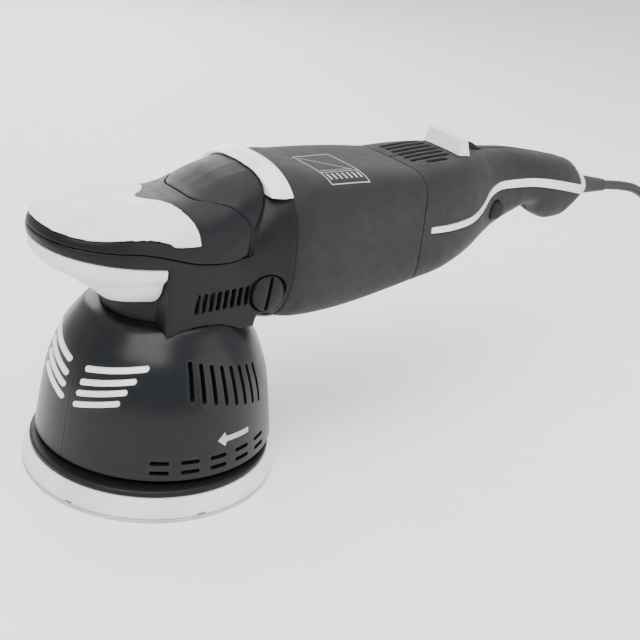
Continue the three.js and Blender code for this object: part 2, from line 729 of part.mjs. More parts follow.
const speedDial = join(
  rod('y', DIAL.radius, -DIAL.halfWidth, DIAL.halfWidth, [DIAL.x, 0, DIAL.z], 30),
  rod('y', 2, -9, 9, [DIAL.x, 0, DIAL.z], 12),
);

const speedModule = box([186, 224], [-19, 19], [118, 150]);
const switchBody = box([244, 274], [-9, 9], [137, 156]);

const springRoom = rod('z', 4, 124, 140, [270, 0, 0], 16);

function triggerSolid() {
  const outline = [[232.3, 104], [232.3, 125.5], [252, 125.5], [283, 126.5], [286, 124], [286, 104]];
  const lever = slab([[250, 122], [250, 129], [262, 129], [262, 122]], 8);
  return cut(
    join(cut(slab(outline, 12.5).intersect(handleForm(0.2, 225, 290)), springRoom), lever),
    rod('y', 2.3, -20, 20, [TRIGGER_PIVOT.x, 0, TRIGGER_PIVOT.z], 16),
  );
}

const triggerPin = rod('y', 2, -16.6, 16.6, [TRIGGER_PIVOT.x, 0, TRIGGER_PIVOT.z], 16);

class Helix extends THREE.Curve {
  constructor(radius, height, turns) {
    super();
    Object.assign(this, { radius, height, turns });
  }

  getPoint(t, target = new THREE.Vector3()) {
    const angle = 2 * Math.PI * this.turns * t;
    return target.set(this.radius * Math.cos(angle), this.radius * Math.sin(angle), this.height * t);
  }
}

function sweep(curve, radius, sides, steps) {
  const points = [...Array(sides).keys()].map((i) => {
    const angle = (2 * Math.PI * i) / sides;
    return new THREE.Vector2(radius * Math.cos(angle), radius * Math.sin(angle));
  });
  return new THREE.ExtrudeGeometry(new THREE.Shape(points), { steps, extrudePath: curve, bevelEnabled: false });
}

const triggerSpring = solid(sweep(new Helix(3, 11, 4), 0.5, 5, 32).translate(270, 0, 124.8));

const lockButton = cut(
  join(
    rod('y', BUTTON.radius, -27, -19, [BUTTON.x, 0, BUTTON.z]),
    rod('y', 4, -19.5, -14, [BUTTON.x, 0, BUTTON.z]),
  ),
);

// ---- cord ----
const reliefTaper = turned('x', [
  [0, -2], [RELIEF.neck, -2], [RELIEF.neck, 1.8], [6.8, 1.8], [6.5, 6], [6.2, 20], [4.6, RELIEF.length],
  [0, RELIEF.length],
], [0, 0, 0], 16);
const strainRelief = join(
  rod('x', RELIEF.flange, 346, 348.5, RELIEF_AXIS),
  rod('x', RELIEF.neck, 346, TAIL_X, RELIEF_AXIS),
  reliefTaper.rotate([0, RELIEF.tilt, 0]).translate([TAIL_X, 0, RELIEF.z]),
);

const cordClamp = cut(
  box([320, 334], [-8, 8], [124, 134.6]),
  rod('x', CORD_RADIUS + GAP, 310, 345, RELIEF_AXIS),
);

const CORD_ROUTE = [
  [381, 0, 125.2], [392, 0, 123.7], [408, 0, 120.9], [424, 0, 116], [438, 0, 107.6], [450, 0, 95], [459.5, 0, 79],
  [468, 0, 60], [477.5, 0, 41], [490, 0, 24], [505, 0, 11.2], [520, 0, 5.2], [531, 0, 3.8],
];
const cordCurve = new THREE.CatmullRomCurve3(CORD_ROUTE.map((point) => new THREE.Vector3(...point)));
const cord = solid(sweep(cordCurve, CORD_RADIUS, 8, 24));

const cordCoil = turned('z', [
  [COIL.inner, 0.1], [COIL.outer, 0.1], [COIL.outer, COIL.height], [COIL.inner, COIL.height],
], [COIL.x, COIL.y, 0], 32);

// The plug lies flat on the coil, with its two round pins.
function cordPlug() {
  const z = COIL.height + GAP + 13;
  const pins = [-9.5, 9.5].map((y) => rod('x', 2.4, 34, 54, [0, y, 0], 12));
  const shape = join(
    rod('x', 5.5, 0, 14, [0, 0, 0], 20),
    rod('x', 9, 12, 22, [0, 0, 0], 20),
    rod('x', 12.9, 20, 35, [0, 0, 0], 24).scale([1, 1.4, 1]),
    ...pins,
  );
  return shape.rotate([0, 0, -8]).translate([COIL.x + 4.6, COIL.y + 32.7, z]);
}

// ---- assembly ----
const tool = new THREE.Group();

function piece(name, shape, material) {
  const { numProp, vertProperties, triVerts } = shape.getMesh();
  const geometry = new THREE.BufferGeometry();
  const positions = new Float32Array((vertProperties.length / numProp) * 3);
  for (let i = 0; i < positions.length / 3; i += 1) {
    for (let k = 0; k < 3; k += 1) positions[3 * i + k] = vertProperties[numProp * i + k];
  }
  geometry.setAttribute('position', new THREE.BufferAttribute(positions, 3));
  geometry.setIndex(new THREE.BufferAttribute(new Uint32Array(triVerts), 1));
  const mesh = new THREE.Mesh(geometry, material);
  mesh.name = name;
  tool.add(mesh);
}

const mirror = (shape) => shape.scale([1, -1, 1]);

piece('palm_pad_top', palmPadTop, WHITE_RUBBER);
piece('palm_pad_lower', palmPadLower, WHITE_RUBBER);
piece('upper_cover', upperCover, BLACK_PLASTIC);
piece('head_housing', headHousing, BLACK_PLASTIC);
piece('front_trim_band', frontTrimBand, WHITE_PLASTIC);
piece('lower_trim_band', lowerTrimBand, WHITE_PLASTIC);
piece('socket_plug_left', socketPlug(-1), BLACK_PLASTIC);
piece('socket_plug_right', socketPlug(1), BLACK_PLASTIC);
piece('shroud_left', turnShroud(shroudHalf), GLOSS_BLACK);
piece('shroud_right', turnShroud(mirror(shroudHalf)), GLOSS_BLACK);
piece('rib_insert_left', turnShroud(ribHalf), WHITE_PLASTIC);
piece('rib_insert_right', turnShroud(mirror(ribHalf)), WHITE_PLASTIC);

piece('gear_case', gearCase, ALUMINIUM);
piece('gear_case_cover', gearCaseCover, ALUMINIUM);
piece('drive_spindle', driveSpindle, STEEL);
piece('crown_wheel', crownWheel, STEEL);
piece('spindle_bearing_lower', bearing('z', SPINDLE_RADIUS + GAP, 14, 102, 110), STEEL);
piece('spindle_bearing_upper', bearing('z', 4, 11, 148, 155), STEEL);

piece('eccentric_carrier', eccentricCarrier, ALUMINIUM);
piece('counterweight', counterweight, STEEL);
piece('pad_bearing_upper', bearing('z', 7.5, 16, 46, 55, pad), STEEL);
piece('pad_bearing_lower', bearing('z', 7.5, 16, 33, 42, pad), STEEL);
piece('pad_spindle', padSpindle, STEEL);
piece('backing_disc', backingDisc, BLACK_PLASTIC);
piece('backing_foam', backingFoam, FOAM);
piece('hook_face', hookFace, HOOK);
piece('plate_screw', plateScrew, STEEL);

piece('drive_pinion', drivePinion, STEEL);
piece('armature_shaft', armatureShaft, STEEL);
piece('armature_core', armatureCore(), LAMINATION);
piece('armature_winding_front', windingHead(73, 83.7), COPPER);
piece('armature_winding_rear', windingHead(128.3, 138), COPPER);
piece('commutator', sleeve('x', 12, SHAFT_RADIUS, 138.5, 152, axis, 24), BRONZE);
piece('motor_fan', motorFan(), BLACK_PLASTIC);
piece('motor_bearing_front', bearing('x', SHAFT_RADIUS, 11, 46.3, 53, axis), STEEL);
piece('motor_bearing_rear', bearing('x', SHAFT_RADIUS, 11, 158, 165, axis), STEEL);
piece('field_stator', fieldStator(), LAMINATION);
piece('field_coil_upper', fieldCoil(1), COPPER);
piece('field_coil_lower', fieldCoil(-1), COPPER);
piece('brush_frame', brushFrame, BLACK_PLASTIC);
piece('brush_left', brush(-1), CARBON);
piece('brush_right', brush(1), CARBON);
piece('motor_housing', motorHousing(), SOFT_GREY);

piece('handle_shell_left', handleLeft, SOFT_GREY);
piece('handle_shell_right', handleRight, SOFT_GREY);
piece('handle_trim', handleTrim, WHITE_PLASTIC);
piece('rear_cap', rearCap, WHITE_PLASTIC);
piece('speed_dial', speedDial, BLACK_PLASTIC);
piece('speed_module', speedModule, BOARD);
piece('switch_body', switchBody, BLACK_PLASTIC);
piece('trigger', triggerSolid(), BLACK_PLASTIC);
piece('trigger_pin', triggerPin, STEEL);
piece('trigger_spring', triggerSpring, STEEL);
piece('lock_button', lockButton, BLACK_PLASTIC);

piece('strain_relief', strainRelief, CORD_RUBBER);
piece('cord_clamp', cordClamp, BLACK_PLASTIC);
piece('cord', cord, CORD_RUBBER);
piece('cord_coil', cordCoil, CORD_RUBBER);
piece('cord_plug', cordPlug(), CORD_RUBBER);

export default tool;
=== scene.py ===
import json
import math

import bmesh
import bpy
from mathutils import Matrix, Vector


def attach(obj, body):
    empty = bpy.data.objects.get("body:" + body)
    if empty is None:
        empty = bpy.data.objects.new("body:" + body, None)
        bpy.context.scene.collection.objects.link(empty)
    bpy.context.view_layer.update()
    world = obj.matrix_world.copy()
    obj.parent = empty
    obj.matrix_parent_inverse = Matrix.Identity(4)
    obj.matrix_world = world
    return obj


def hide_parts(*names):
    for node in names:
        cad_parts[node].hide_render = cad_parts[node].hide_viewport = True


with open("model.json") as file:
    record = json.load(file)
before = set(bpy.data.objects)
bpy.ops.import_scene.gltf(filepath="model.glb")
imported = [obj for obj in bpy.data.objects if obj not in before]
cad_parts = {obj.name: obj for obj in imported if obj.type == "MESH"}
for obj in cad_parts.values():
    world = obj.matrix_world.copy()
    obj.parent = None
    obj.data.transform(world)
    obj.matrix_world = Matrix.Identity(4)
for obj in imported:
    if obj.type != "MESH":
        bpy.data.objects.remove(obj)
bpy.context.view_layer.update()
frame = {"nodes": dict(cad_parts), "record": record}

# ---- driving dimensions, as in the CAD ----
MM = 0.001
GAP = 0.3
SEAM = 0.15
NOSE_X = -81
HEAD_HALF_WIDTH = 42
HEAD_END_X = 57.7
DOME_END_X = 46
DOME_CENTRE_X = -30
STEP_X = -21.5
CORE_RADIUS = 36
PAD_SKIN = 4.4
COVER_SHELL = 7.2
SHROUD_TOP = 100.5
SHROUD_BOTTOM = 20
SHROUD_TURN = 11.25
MOTOR_Z = 134
HANDLE_FRONT_X = 163
TAIL_X = 352
PAD_X = 7.5 * math.cos(math.radians(223))
PAD_Y = 7.5 * math.sin(math.radians(223))
PLATE_RADIUS = 75
DIAL = (228, 0, 163)
BUTTON = (242.3, 0, 131.6)
TRIGGER_PIVOT = (238, 0, 120.5)
PLUG = (44, 0, 113.5)
PLUG_RADIUS = 11
RELIEF_Z = 129.3
RELIEF_TILT = 8
CORD_RADIUS = 3.5
COIL_X = 560
COIL_Y = -52

HEAD_TOP = [
    (-81, 166.5), (-62, 168), (-45, 167), (-33, 165.8), (-20, 165.2), (0, 165), (10, 167), (20, 171),
    (30, 175.5), (60, 183),
]
# Stations along X: x, half width, top, bottom, widest height, fullness.
COLLAR = [
    (20, 41, 148, 99, 125, 3), (27, 42, 152, 96, 128, 3), (36, 43, 162, 93, 132, 2.8),
    (45, 44.8, 172, 90, 136, 2.7), (57.7, 48, 180.5, 85, 138, 2.6),
]
BAND = [
    (44, 46, 180, 88, 138, 2.7), (47.5, 47.2, 182.2, 87, 138, 2.7), (51.5, 48.6, 184.6, 85.5, 138, 2.6),
    (53, 48.9, 184.8, 85, 138, 2.6), (57.7, 49.3, 183.4, 84.3, 138, 2.6),
]
HOUSING = [
    (58, 45.6, 176.6, 87, 136, 2.8), (59.6, 47, 177.8, 85.7, 136, 2.8), (70, 48, 178, 85, 136, 3.3),
    (90, 47, 175.5, 86, 135, 4), (115, 44.5, 174, 88, 134, 4.6), (140, 42, 172, 91, 133, 5),
    (162.7, 40, 169.5, 94, 132, 5.2),
]
HANDLE = [
    (163, 40, 169.5, 94, 132, 5.2), (187, 38.5, 171, 95.5, 133, 4.4), (206, 35.5, 171.5, 98, 135, 3.6),
    (222, 31, 170.5, 101, 138, 3.1), (236, 26, 168.5, 106, 141, 2.8), (250, 22.5, 167, 112.5, 143, 2.6),
    (267, 20.5, 165.5, 119, 143, 2.5), (285, 19.5, 162.5, 124, 142, 2.5), (292, 19.5, 161, 123.5, 141, 2.5),
    (304, 19.5, 158.5, 114, 138, 2.5), (315, 18.5, 156, 109.5, 136, 2.5), (325, 17, 153.5, 109.5, 134, 2.5),
    (335, 15, 149.5, 114, 132, 2.4), (345, 11.5, 142, 120.5, 130.5, 2.3),
    (352, 7.5, 136.5, 124.5, 129.5, 2.2),
]
# The cap's middle, and the height, half length and half width at its foot and its top.
CAP_X = 211.5
CAP_LOW = (160, 9.5, 19.5)
CAP_HIGH = (181.5, 3.2, 16.5)
TRIGGER_ROOM = [(231.5, 60), (231.5, 131), (288, 131), (288, 60)]
STRIPE = [
    (171, 132.5), (187, 131.6), (204, 131.7), (216, 133.2), (225, 138), (232, 144.5), (243, 147.8),
    (260, 147), (285, 144.4), (310, 139.4), (342, 130.5),
]
SHROUD_OUTER = [(44, 98.5), (50, 91.5), (56, 83), (60.5, 73), (65, 59), (68, 40), (70.5, 20)]
SHROUD_INNER = [(47, 89.5), (53, 81), (57.5, 71.5), (62, 58), (65, 40), (67.5, 20)]
# The cover's and the top pad's lower edges as x and z, and their rear edges as |y| and x.
COVER_LINE = [
    (-101, 156), (-81, 153.5), (-64, 151.6), (-48, 150), (-38, 148.7), (-27, 145.7), (-15, 141.7),
    (-4, 138.3), (8, 136.4), (19, 135.8), (29, 137), (60, 141),
]
PAD_LINE = [
    (-101, 160), (-81, 158.6), (-66, 157), (-45, 156.6), (-32, 155.2), (-22, 152.3), (-10, 148.7), (60, 146),
]
COVER_EDGE = [
    (0, 6), (10, 6), (16, 7.7), (24, 14.4), (31, 21.7), (36.3, 26.8), (39, 30.5), (40.5, 32), (60, 33),
]
PAD_EDGE = [
    (0, -21), (4, -18.5), (8, -13.5), (12, -9.5), (16, -7.2), (27, -4.6), (35, -2.6), (39, -2.2), (60, -3),
]
# Angle and height of a rib's middle, its length and its slant in degrees.
RIBS = [(203.6, 79.1, 37, 11.6), (200.4, 71.8, 34, 13.6), (198.2, 65.4, 31.5, 15), (196.5, 58.8, 30, 16.4)]
CORD_ROUTE = [
    (381, 0, 125.2), (392, 0, 123.7), (408, 0, 120.9), (424, 0, 116), (438, 0, 107.6), (450, 0, 95),
    (459.5, 0, 79), (468, 0, 60), (477.5, 0, 41), (490, 0, 24), (505, 0, 11.2), (520, 0, 5.2), (531, 0, 3.8),
]


def base_line(x):
    return 150.5 - 0.165 * (x - NOSE_X)


def rim_line(x):
    return 148 - 0.175 * (x - NOSE_X)


def bend(value, power):
    return math.copysign(abs(value) ** (2 / power), value)


def station(table, x):
    """The table's row at x, on a smooth curve that never overshoots its points."""
    i = 1
    while i < len(table) - 1 and table[i][0] < x:
        i += 1
    p, q = table[i - 1], table[i]
    before = table[max(i - 2, 0)]
    after = table[min(i + 1, len(table) - 1)]
    width = q[0] - p[0]
    t = min(max((x - p[0]) / width, 0), 1)
    row = []
    for k in range(1, len(p)):
        slope = (q[k] - p[k]) / width
        left = (p[k] - before[k]) / (p[0] - before[0]) if before is not p else slope
        right = (after[k] - q[k]) / (after[0] - q[0]) if after is not q else slope
        start = 2 * left * slope / (left + slope) if left * slope > 0 else 0
        end = 2 * right * slope / (right + slope) if right * slope > 0 else 0
        rise = q[k] - p[k]
        curve = p[k] + rise * (3 * t**2 - 2 * t**3)
        row.append(curve + width * (start * (t - 2 * t**2 + t**3) + end * (t**3 - t**2)))
    return row


def spline(points, steps):
    """The points joined by a smooth curve, with steps parts between each two."""
    last = len(points) - 1

    def between(p, q, r, s, t):
        square = (2 * p - 5 * q + 4 * r - s) * t**2
        cube = (3 * q - p - 3 * r + s) * t**3
        return 0.5 * (2 * q + (r - p) * t + square + cube)

    result = []
    for i in range(last):
        knots = [points[min(max(k, 0), last)] for k in (i - 1, i, i + 1, i + 2)]
        for n in range(steps):
            result.append(tuple(between(*values, n / steps) for values in zip(*knots)))
    result.append(tuple(points[-1]))
    return result


# ---- mesh building ----
def new_piece(name, points, faces):
    mesh = bpy.data.meshes.new(name)
    mesh.from_pydata([tuple(MM * value for value in point) for point in points], [], faces)
    form = bmesh.new()
    form.from_mesh(mesh)
    bmesh.ops.remove_doubles(form, verts=form.verts, dist=1e-6)
    bmesh.ops.dissolve_degenerate(form, edges=form.edges, dist=1e-7)
    bmesh.ops.recalc_face_normals(form, faces=form.faces)
    form.to_mesh(mesh)
    form.free()
    piece = bpy.data.objects.new(name, mesh)
    bpy.context.collection.objects.link(piece)
    return piece


def loft(name, rings):
    """A closed skin through rings of equal length, capped at both ends."""
    count = len(rings[0])
    points = [point for ring in rings for point in ring]
    faces = []
    for i in range(len(rings) - 1):
        for j in range(count):
            k = (j + 1) % count
            faces.append((i * count + j, i * count + k, (i + 1) * count + k, (i + 1) * count + j))
    for ring, start in ((rings[0], 0), (rings[-1], (len(rings) - 1) * count)):
        centre = tuple(sum(point[k] for point in ring) / count for k in range(3))
        points.append(centre)
        for j in range(count):
            faces.append((start + j, start + (j + 1) % count, len(points) - 1))
    return new_piece(name, points, faces)


def skin(name, around, along, place):
    rings = []
    for i in range(along + 1):
        turns = (2 * math.pi * j / around for j in range(around))
        rings.append([place(i / along, math.cos(a), math.sin(a)) for a in turns])
    return loft(name, rings)


def aimed(point, axis, centre):
    a, b, h = point
    x, y, z = {"x": (h, a, b), "y": (b, h, a), "z": (a, b, h)}[axis]
    return (x + centre[0], y + centre[1], z + centre[2])


def turned(name, axis, profile, centre=(0, 0, 0), sides=64):
    """A solid of revolution; the profile is a closed outline of (radius, height along the axis)."""
    count = len(profile)
    points = []
    for i in range(sides):
        a = 2 * math.pi * i / sides
        points += [aimed((r * math.cos(a), r * math.sin(a), h), axis, centre) for r, h in profile]
    faces = []
    for i in range(sides):
        k = (i + 1) % sides
        for j in range(count):
            m = (j + 1) % count
            if profile[j][0] > 0 or profile[m][0] > 0:
                faces.append((i * count + j, k * count + j, k * count + m, i * count + m))
    return new_piece(name, points, faces)


def rod(axis, radius, low, high, centre=(0, 0, 0), sides=48):
    return turned("rod", axis, [(0, low), (radius, low), (radius, high), (0, high)], centre, sides)


def prism(outline, low, high):
    """An outline in the XY plane, raised from low(x) to high(x)."""
    count = len(outline)
    points = [(x, y, low(x)) for x, y in outline] + [(x, y, high(x)) for x, y in outline]
    faces = [tuple(range(count)), tuple(range(2 * count - 1, count - 1, -1))]
    faces += [(j, (j + 1) % count, count + (j + 1) % count, count + j) for j in range(count)]
    return new_piece("prism", points, faces)


def slab(outline, low, high):
    """An outline in the XZ plane, extruded from y = low to y = high."""
    count = len(outline)
    points = [(x, low, z) for x, z in outline] + [(x, high, z) for x, z in outline]
    faces = [tuple(range(count)), tuple(range(2 * count - 1, count - 1, -1))]
    faces += [(j, (j + 1) % count, count + (j + 1) % count, count + j) for j in range(count)]
    return new_piece("slab", points, faces)


def box(x, y, z):
    return slab([(x[0], z[0]), (x[1], z[0]), (x[1], z[1]), (x[0], z[1])], y[0], y[1])


def rounded(corners, radius, steps=5):
    """A polygon with its corners rounded off."""
    result = []
    count = len(corners)
    for i in range(count):
        corner = Vector(corners[i])
        back = Vector(corners[i - 1]) - corner
        ahead = Vector(corners[(i + 1) % count]) - corner
        reach = min(radius, 0.49 * back.length, 0.49 * ahead.length)
        start = corner + back.normalized() * reach
        end = corner + ahead.normalized() * reach
        for n in range(steps + 1):
            t = n / steps
            point = start * (1 - t) ** 2 + corner * (2 * t * (1 - t)) + end * t**2
            result.append((point.x, point.y))
    return result


def turn(piece, degrees, axis="Z", centre=(0, 0, 0)):
    middle = Matrix.Translation(Vector(centre) * MM)
    piece.data.transform(middle @ Matrix.Rotation(math.radians(degrees), 4, axis) @ middle.inverted())
    return piece


def copied(piece, name):
    copy = bpy.data.objects.new(name, piece.data.copy())
    bpy.context.collection.objects.link(copy)
    return copy


def mirror(piece):
    """Mirrors a piece in the plane y = 0."""
    piece.data.transform(Matrix.Scale(-1, 4, (0, 1, 0)))
    piece.data.flip_normals()
    return piece


def shift(piece, x=0, y=0, z=0):
    piece.data.transform(Matrix.Translation((x * MM, y * MM, z * MM)))
    return piece


def settle(piece):
    """Applies the modifiers to the mesh."""
    graph = bpy.context.evaluated_depsgraph_get()
    old = piece.data
    mesh = bpy.data.meshes.new_from_object(piece.evaluated_get(graph))
    piece.modifiers.clear()
    piece.data = mesh
    bpy.data.meshes.remove(old)


def combine(piece, operation, others, keep=False):
    for other in others:
        step = piece.modifiers.new(operation, "BOOLEAN")
        step.operation = operation
        step.solver = "MANIFOLD"
        step.object = other
    settle(piece)
    if not keep:
        for other in others:
            bpy.data.objects.remove(other)
    return piece


def cut(piece, *others):
    return combine(piece, "DIFFERENCE", others)


def join(piece, *others):
    return combine(piece, "UNION", others)


def meet(piece, other):
    return combine(piece, "INTERSECT", [other])


def moulded(piece, grid=0.6, passes=4):
    """Rounds every edge off, as a moulding's are."""
    remesh = piece.modifiers.new("remesh", "REMESH")
    remesh.mode = "VOXEL"
    remesh.voxel_size = grid * MM
    smooth = piece.modifiers.new("smooth", "SMOOTH")
    smooth.factor = 0.5
    smooth.iterations = passes
    settle(piece)
    piece.data.shade_smooth()
    return piece


def machined(piece, width=0.3, angle=32):
    """Gives sharp edges a small bevel and shades the rest smooth."""
    bevel = piece.modifiers.new("bevel", "BEVEL")
    bevel.width = width * MM
    bevel.segments = 2
    bevel.limit_method = "ANGLE"
    bevel.angle_limit = math.radians(angle)
    bevel.harden_normals = False
    settle(piece)
    piece.data.shade_smooth()
    piece.data.set_sharp_from_angle(angle=math.radians(40))
    return piece


# ---- camera ----
def camera():
    azimuth, elevation, roll = (math.radians(a) for a in (-40.1, 24.56, 6.86))
    right = Vector((math.cos(azimuth), math.sin(azimuth), 0))
    ahead = Vector((-math.sin(azimuth) * math.cos(elevation), math.cos(azimuth) * math.cos(elevation),
                    -math.sin(elevation)))
    up = right.cross(ahead)
    x = right * math.cos(roll) + up * math.sin(roll)
    y = up * math.cos(roll) - right * math.sin(roll)
    data = bpy.data.cameras.new("camera")
    data.sensor_width = 36
    data.lens = 70.3125
    eye = bpy.data.objects.new("camera", data)
    place = Matrix((x, y, -ahead)).transposed().to_4x4()
    place.translation = (-0.354775, -0.565842, 0.400758)
    eye.matrix_world = place
    bpy.context.collection.objects.link(eye)
    bpy.context.scene.camera = eye


camera()


# ---- cord: one line from the strain relief down to the floor and round the coil to the plug ----
COIL_PITCH = 7.1
LAYER_RISE = 7.05
COIL_LAYERS = 6
LAYER_TURN = 920
SHIFT_SPAN = 80
FIRST_SHIFT = 160
COIL_END = 5378
PLUG_LIFT = 16.9


def eased(value):
    value = min(max(value, 0), 1)
    return 0.5 - 0.5 * math.cos(math.pi * value)


def coil_point(angle):
    """The cord's place after that many degrees round the coil, going down, in and up its layers."""
    column = 0
    height = 0
    for layer in range(COIL_LAYERS):
        shift = FIRST_SHIFT + LAYER_TURN * layer
        inward = 1 if layer % 2 == 0 else -1
        column += inward * (eased((angle - shift) / SHIFT_SPAN) + eased((angle - shift - 360) / SHIFT_SPAN))
        if layer < COIL_LAYERS - 1:
            height += eased((angle - shift - 640) / SHIFT_SPAN)
    radius = 47.1 - COIL_PITCH * column
    z = 3.6 + LAYER_RISE * height + PLUG_LIFT * eased((angle - COIL_END + 180) / 180)
    place = math.radians(60 - angle)
    return (COIL_X + radius * math.cos(place), COIL_Y + radius * math.sin(place), z)


def cord_points():
    points = list(CORD_ROUTE)
    points += [(COIL_X - 16, -0.6, 3.6), (COIL_X - 1, -2, 3.6), (COIL_X + 12, -5.4, 3.6)]
    steps = round(COIL_END / 18)
    points += [coil_point(COIL_END * i / steps) for i in range(steps + 1)]
    return points


def tube(name, points, radius, resolution=6):
    data = bpy.data.curves.new(name, "CURVE")
    data.dimensions = "3D"
    data.bevel_depth = radius * MM
    data.bevel_resolution = resolution
    data.resolution_u = 6
    data.use_fill_caps = True
    line = data.splines.new("BEZIER")
    line.bezier_points.add(len(points) - 1)
    for knot, point in zip(line.bezier_points, points):
        knot.co = Vector(point) * MM
        knot.handle_left_type = "AUTO"
        knot.handle_right_type = "AUTO"
    piece = bpy.data.objects.new(name, data)
    bpy.context.collection.objects.link(piece)
    return piece


def length_of(points):
    fine = spline(points, 8)
    return sum((Vector(a) - Vector(b)).length for a, b in zip(fine, fine[1:])) * MM


route = cord_points()
mains_cord = tube("mains_cord", route, CORD_RADIUS)


# ---- materials ----
class Paint:
    """A node material whose colour, roughness and fine relief all vary over the surface."""

    def __init__(self, name, color, roughness, metallic=0.0, spread=0.1):
        self.material = bpy.data.materials.new(name)
        self.material.use_nodes = True
        self.tree = self.material.node_tree
        self.shader = self.tree.nodes["Principled BSDF"]
        self.place = self.tree.nodes.new("ShaderNodeTexCoord").outputs["Object"]
        self.shader.inputs["Metallic"].default_value = metallic
        self.color = color
        self.height = None
        self.vary(color, roughness, spread)

    def noise(self, scale, detail=4, stretch=None):
        node = self.tree.nodes.new("ShaderNodeTexNoise")
        node.inputs["Scale"].default_value = scale
        node.inputs["Detail"].default_value = detail
        source = self.place
        if stretch:
            mapping = self.tree.nodes.new("ShaderNodeMapping")
            mapping.inputs["Scale"].default_value = stretch
            self.tree.links.new(source, mapping.inputs["Vector"])
            source = mapping.outputs["Vector"]
        self.tree.links.new(source, node.inputs["Vector"])
        return node.outputs["Fac"]

    def ranged(self, value, low, high, start=0.3, end=0.7):
        node = self.tree.nodes.new("ShaderNodeMapRange")
        node.inputs["From Min"].default_value = start
        node.inputs["From Max"].default_value = end
        node.inputs["To Min"].default_value = low
        node.inputs["To Max"].default_value = high
        self.tree.links.new(value, node.inputs["Value"])
        return node.outputs["Result"]

    def mixed(self, factor, first, second):
        node = self.tree.nodes.new("ShaderNodeMix")
        node.data_type = "RGBA"
        self.tree.links.new(factor, node.inputs["Factor"])
        for socket, value in ((node.inputs[6], first), (node.inputs[7], second)):
            if isinstance(value, tuple):
                socket.default_value = (*value, 1)
            else:
                self.tree.links.new(value, socket)
        return node.outputs[2]

    def vary(self, color, roughness, amount):
        dark = tuple((1 - amount) * value for value in color)
        light = tuple(min(1, (1 + amount) * value) for value in color)
        cloud = self.ranged(self.noise(45, 6), 0, 1)
        self.base = self.mixed(cloud, dark, light)
        self.tree.links.new(self.base, self.shader.inputs["Base Color"])
        spread = self.ranged(self.noise(140, 5), 0.88 * roughness, min(1, 1.12 * roughness))
        self.tree.links.new(spread, self.shader.inputs["Roughness"])

    def painted_edge_highlight(self, color, amount=0.35):
        """Lightens outer, convex edges a little: a painted highlight where the edges catch the light."""
        edge = self.tree.nodes.new("ShaderNodeNewGeometry").outputs["Pointiness"]
        factor = self.ranged(edge, 0, amount, 0.52, 0.6)
        self.base = self.mixed(factor, self.base, color)
        self.tree.links.new(self.base, self.shader.inputs["Base Color"])
        return self

    def flecked(self, color, scale, start, end, amount):
        """Adds small specks or cells of another colour."""
        factor = self.ranged(self.noise(scale, 2), 0, amount, start, end)
        self.base = self.mixed(factor, self.base, color)
        self.tree.links.new(self.base, self.shader.inputs["Base Color"])
        return self

    def relief(self, value, depth, strength=0.5):
        """Adds a bump whose full height is depth, in millimetres."""
        bump = self.tree.nodes.new("ShaderNodeBump")
        bump.inputs["Strength"].default_value = strength
        bump.inputs["Distance"].default_value = depth * MM
        self.tree.links.new(value, bump.inputs["Height"])
        if self.height:
            self.tree.links.new(self.height, bump.inputs["Normal"])
        self.height = bump.outputs["Normal"]
        self.tree.links.new(self.height, self.shader.inputs["Normal"])
        return self

    def cells(self, scale, feature="F1"):
        node = self.tree.nodes.new("ShaderNodeTexVoronoi")
        node.feature = feature
        node.inputs["Scale"].default_value = scale
        self.tree.links.new(self.place, node.inputs["Vector"])
        return node.outputs["Distance"]

    def bands(self, direction, scale, distortion=0.0):
        node = self.tree.nodes.new("ShaderNodeTexWave")
        node.bands_direction = direction
        node.inputs["Scale"].default_value = scale
        node.inputs["Distortion"].default_value = distortion
        self.tree.links.new(self.place, node.inputs["Vector"])
        return node.outputs["Fac"]

    def shine(self, **values):
        for name, value in values.items():
            self.shader.inputs[name.replace("_", " ")].default_value = value
        return self


def moulding(name, color, roughness, edge, grain=1700, depth=0.05):
    # Every moulding gets a painted highlight on its convex edges, in the edge colour.
    paint = Paint(name, color, roughness).painted_edge_highlight(edge)
    return paint.relief(paint.noise(grain, 3), depth, 0.6).relief(paint.noise(120, 3), 0.12, 0.12)


def metal(name, color, roughness, stretch, depth=0.02):
    paint = Paint(name, color, roughness, 1.0)
    paint.flecked(tuple(0.55 * value for value in color), 600, 0.55, 0.75, 0.35)
    return paint.relief(paint.noise(900, 4, stretch), depth, 0.5)


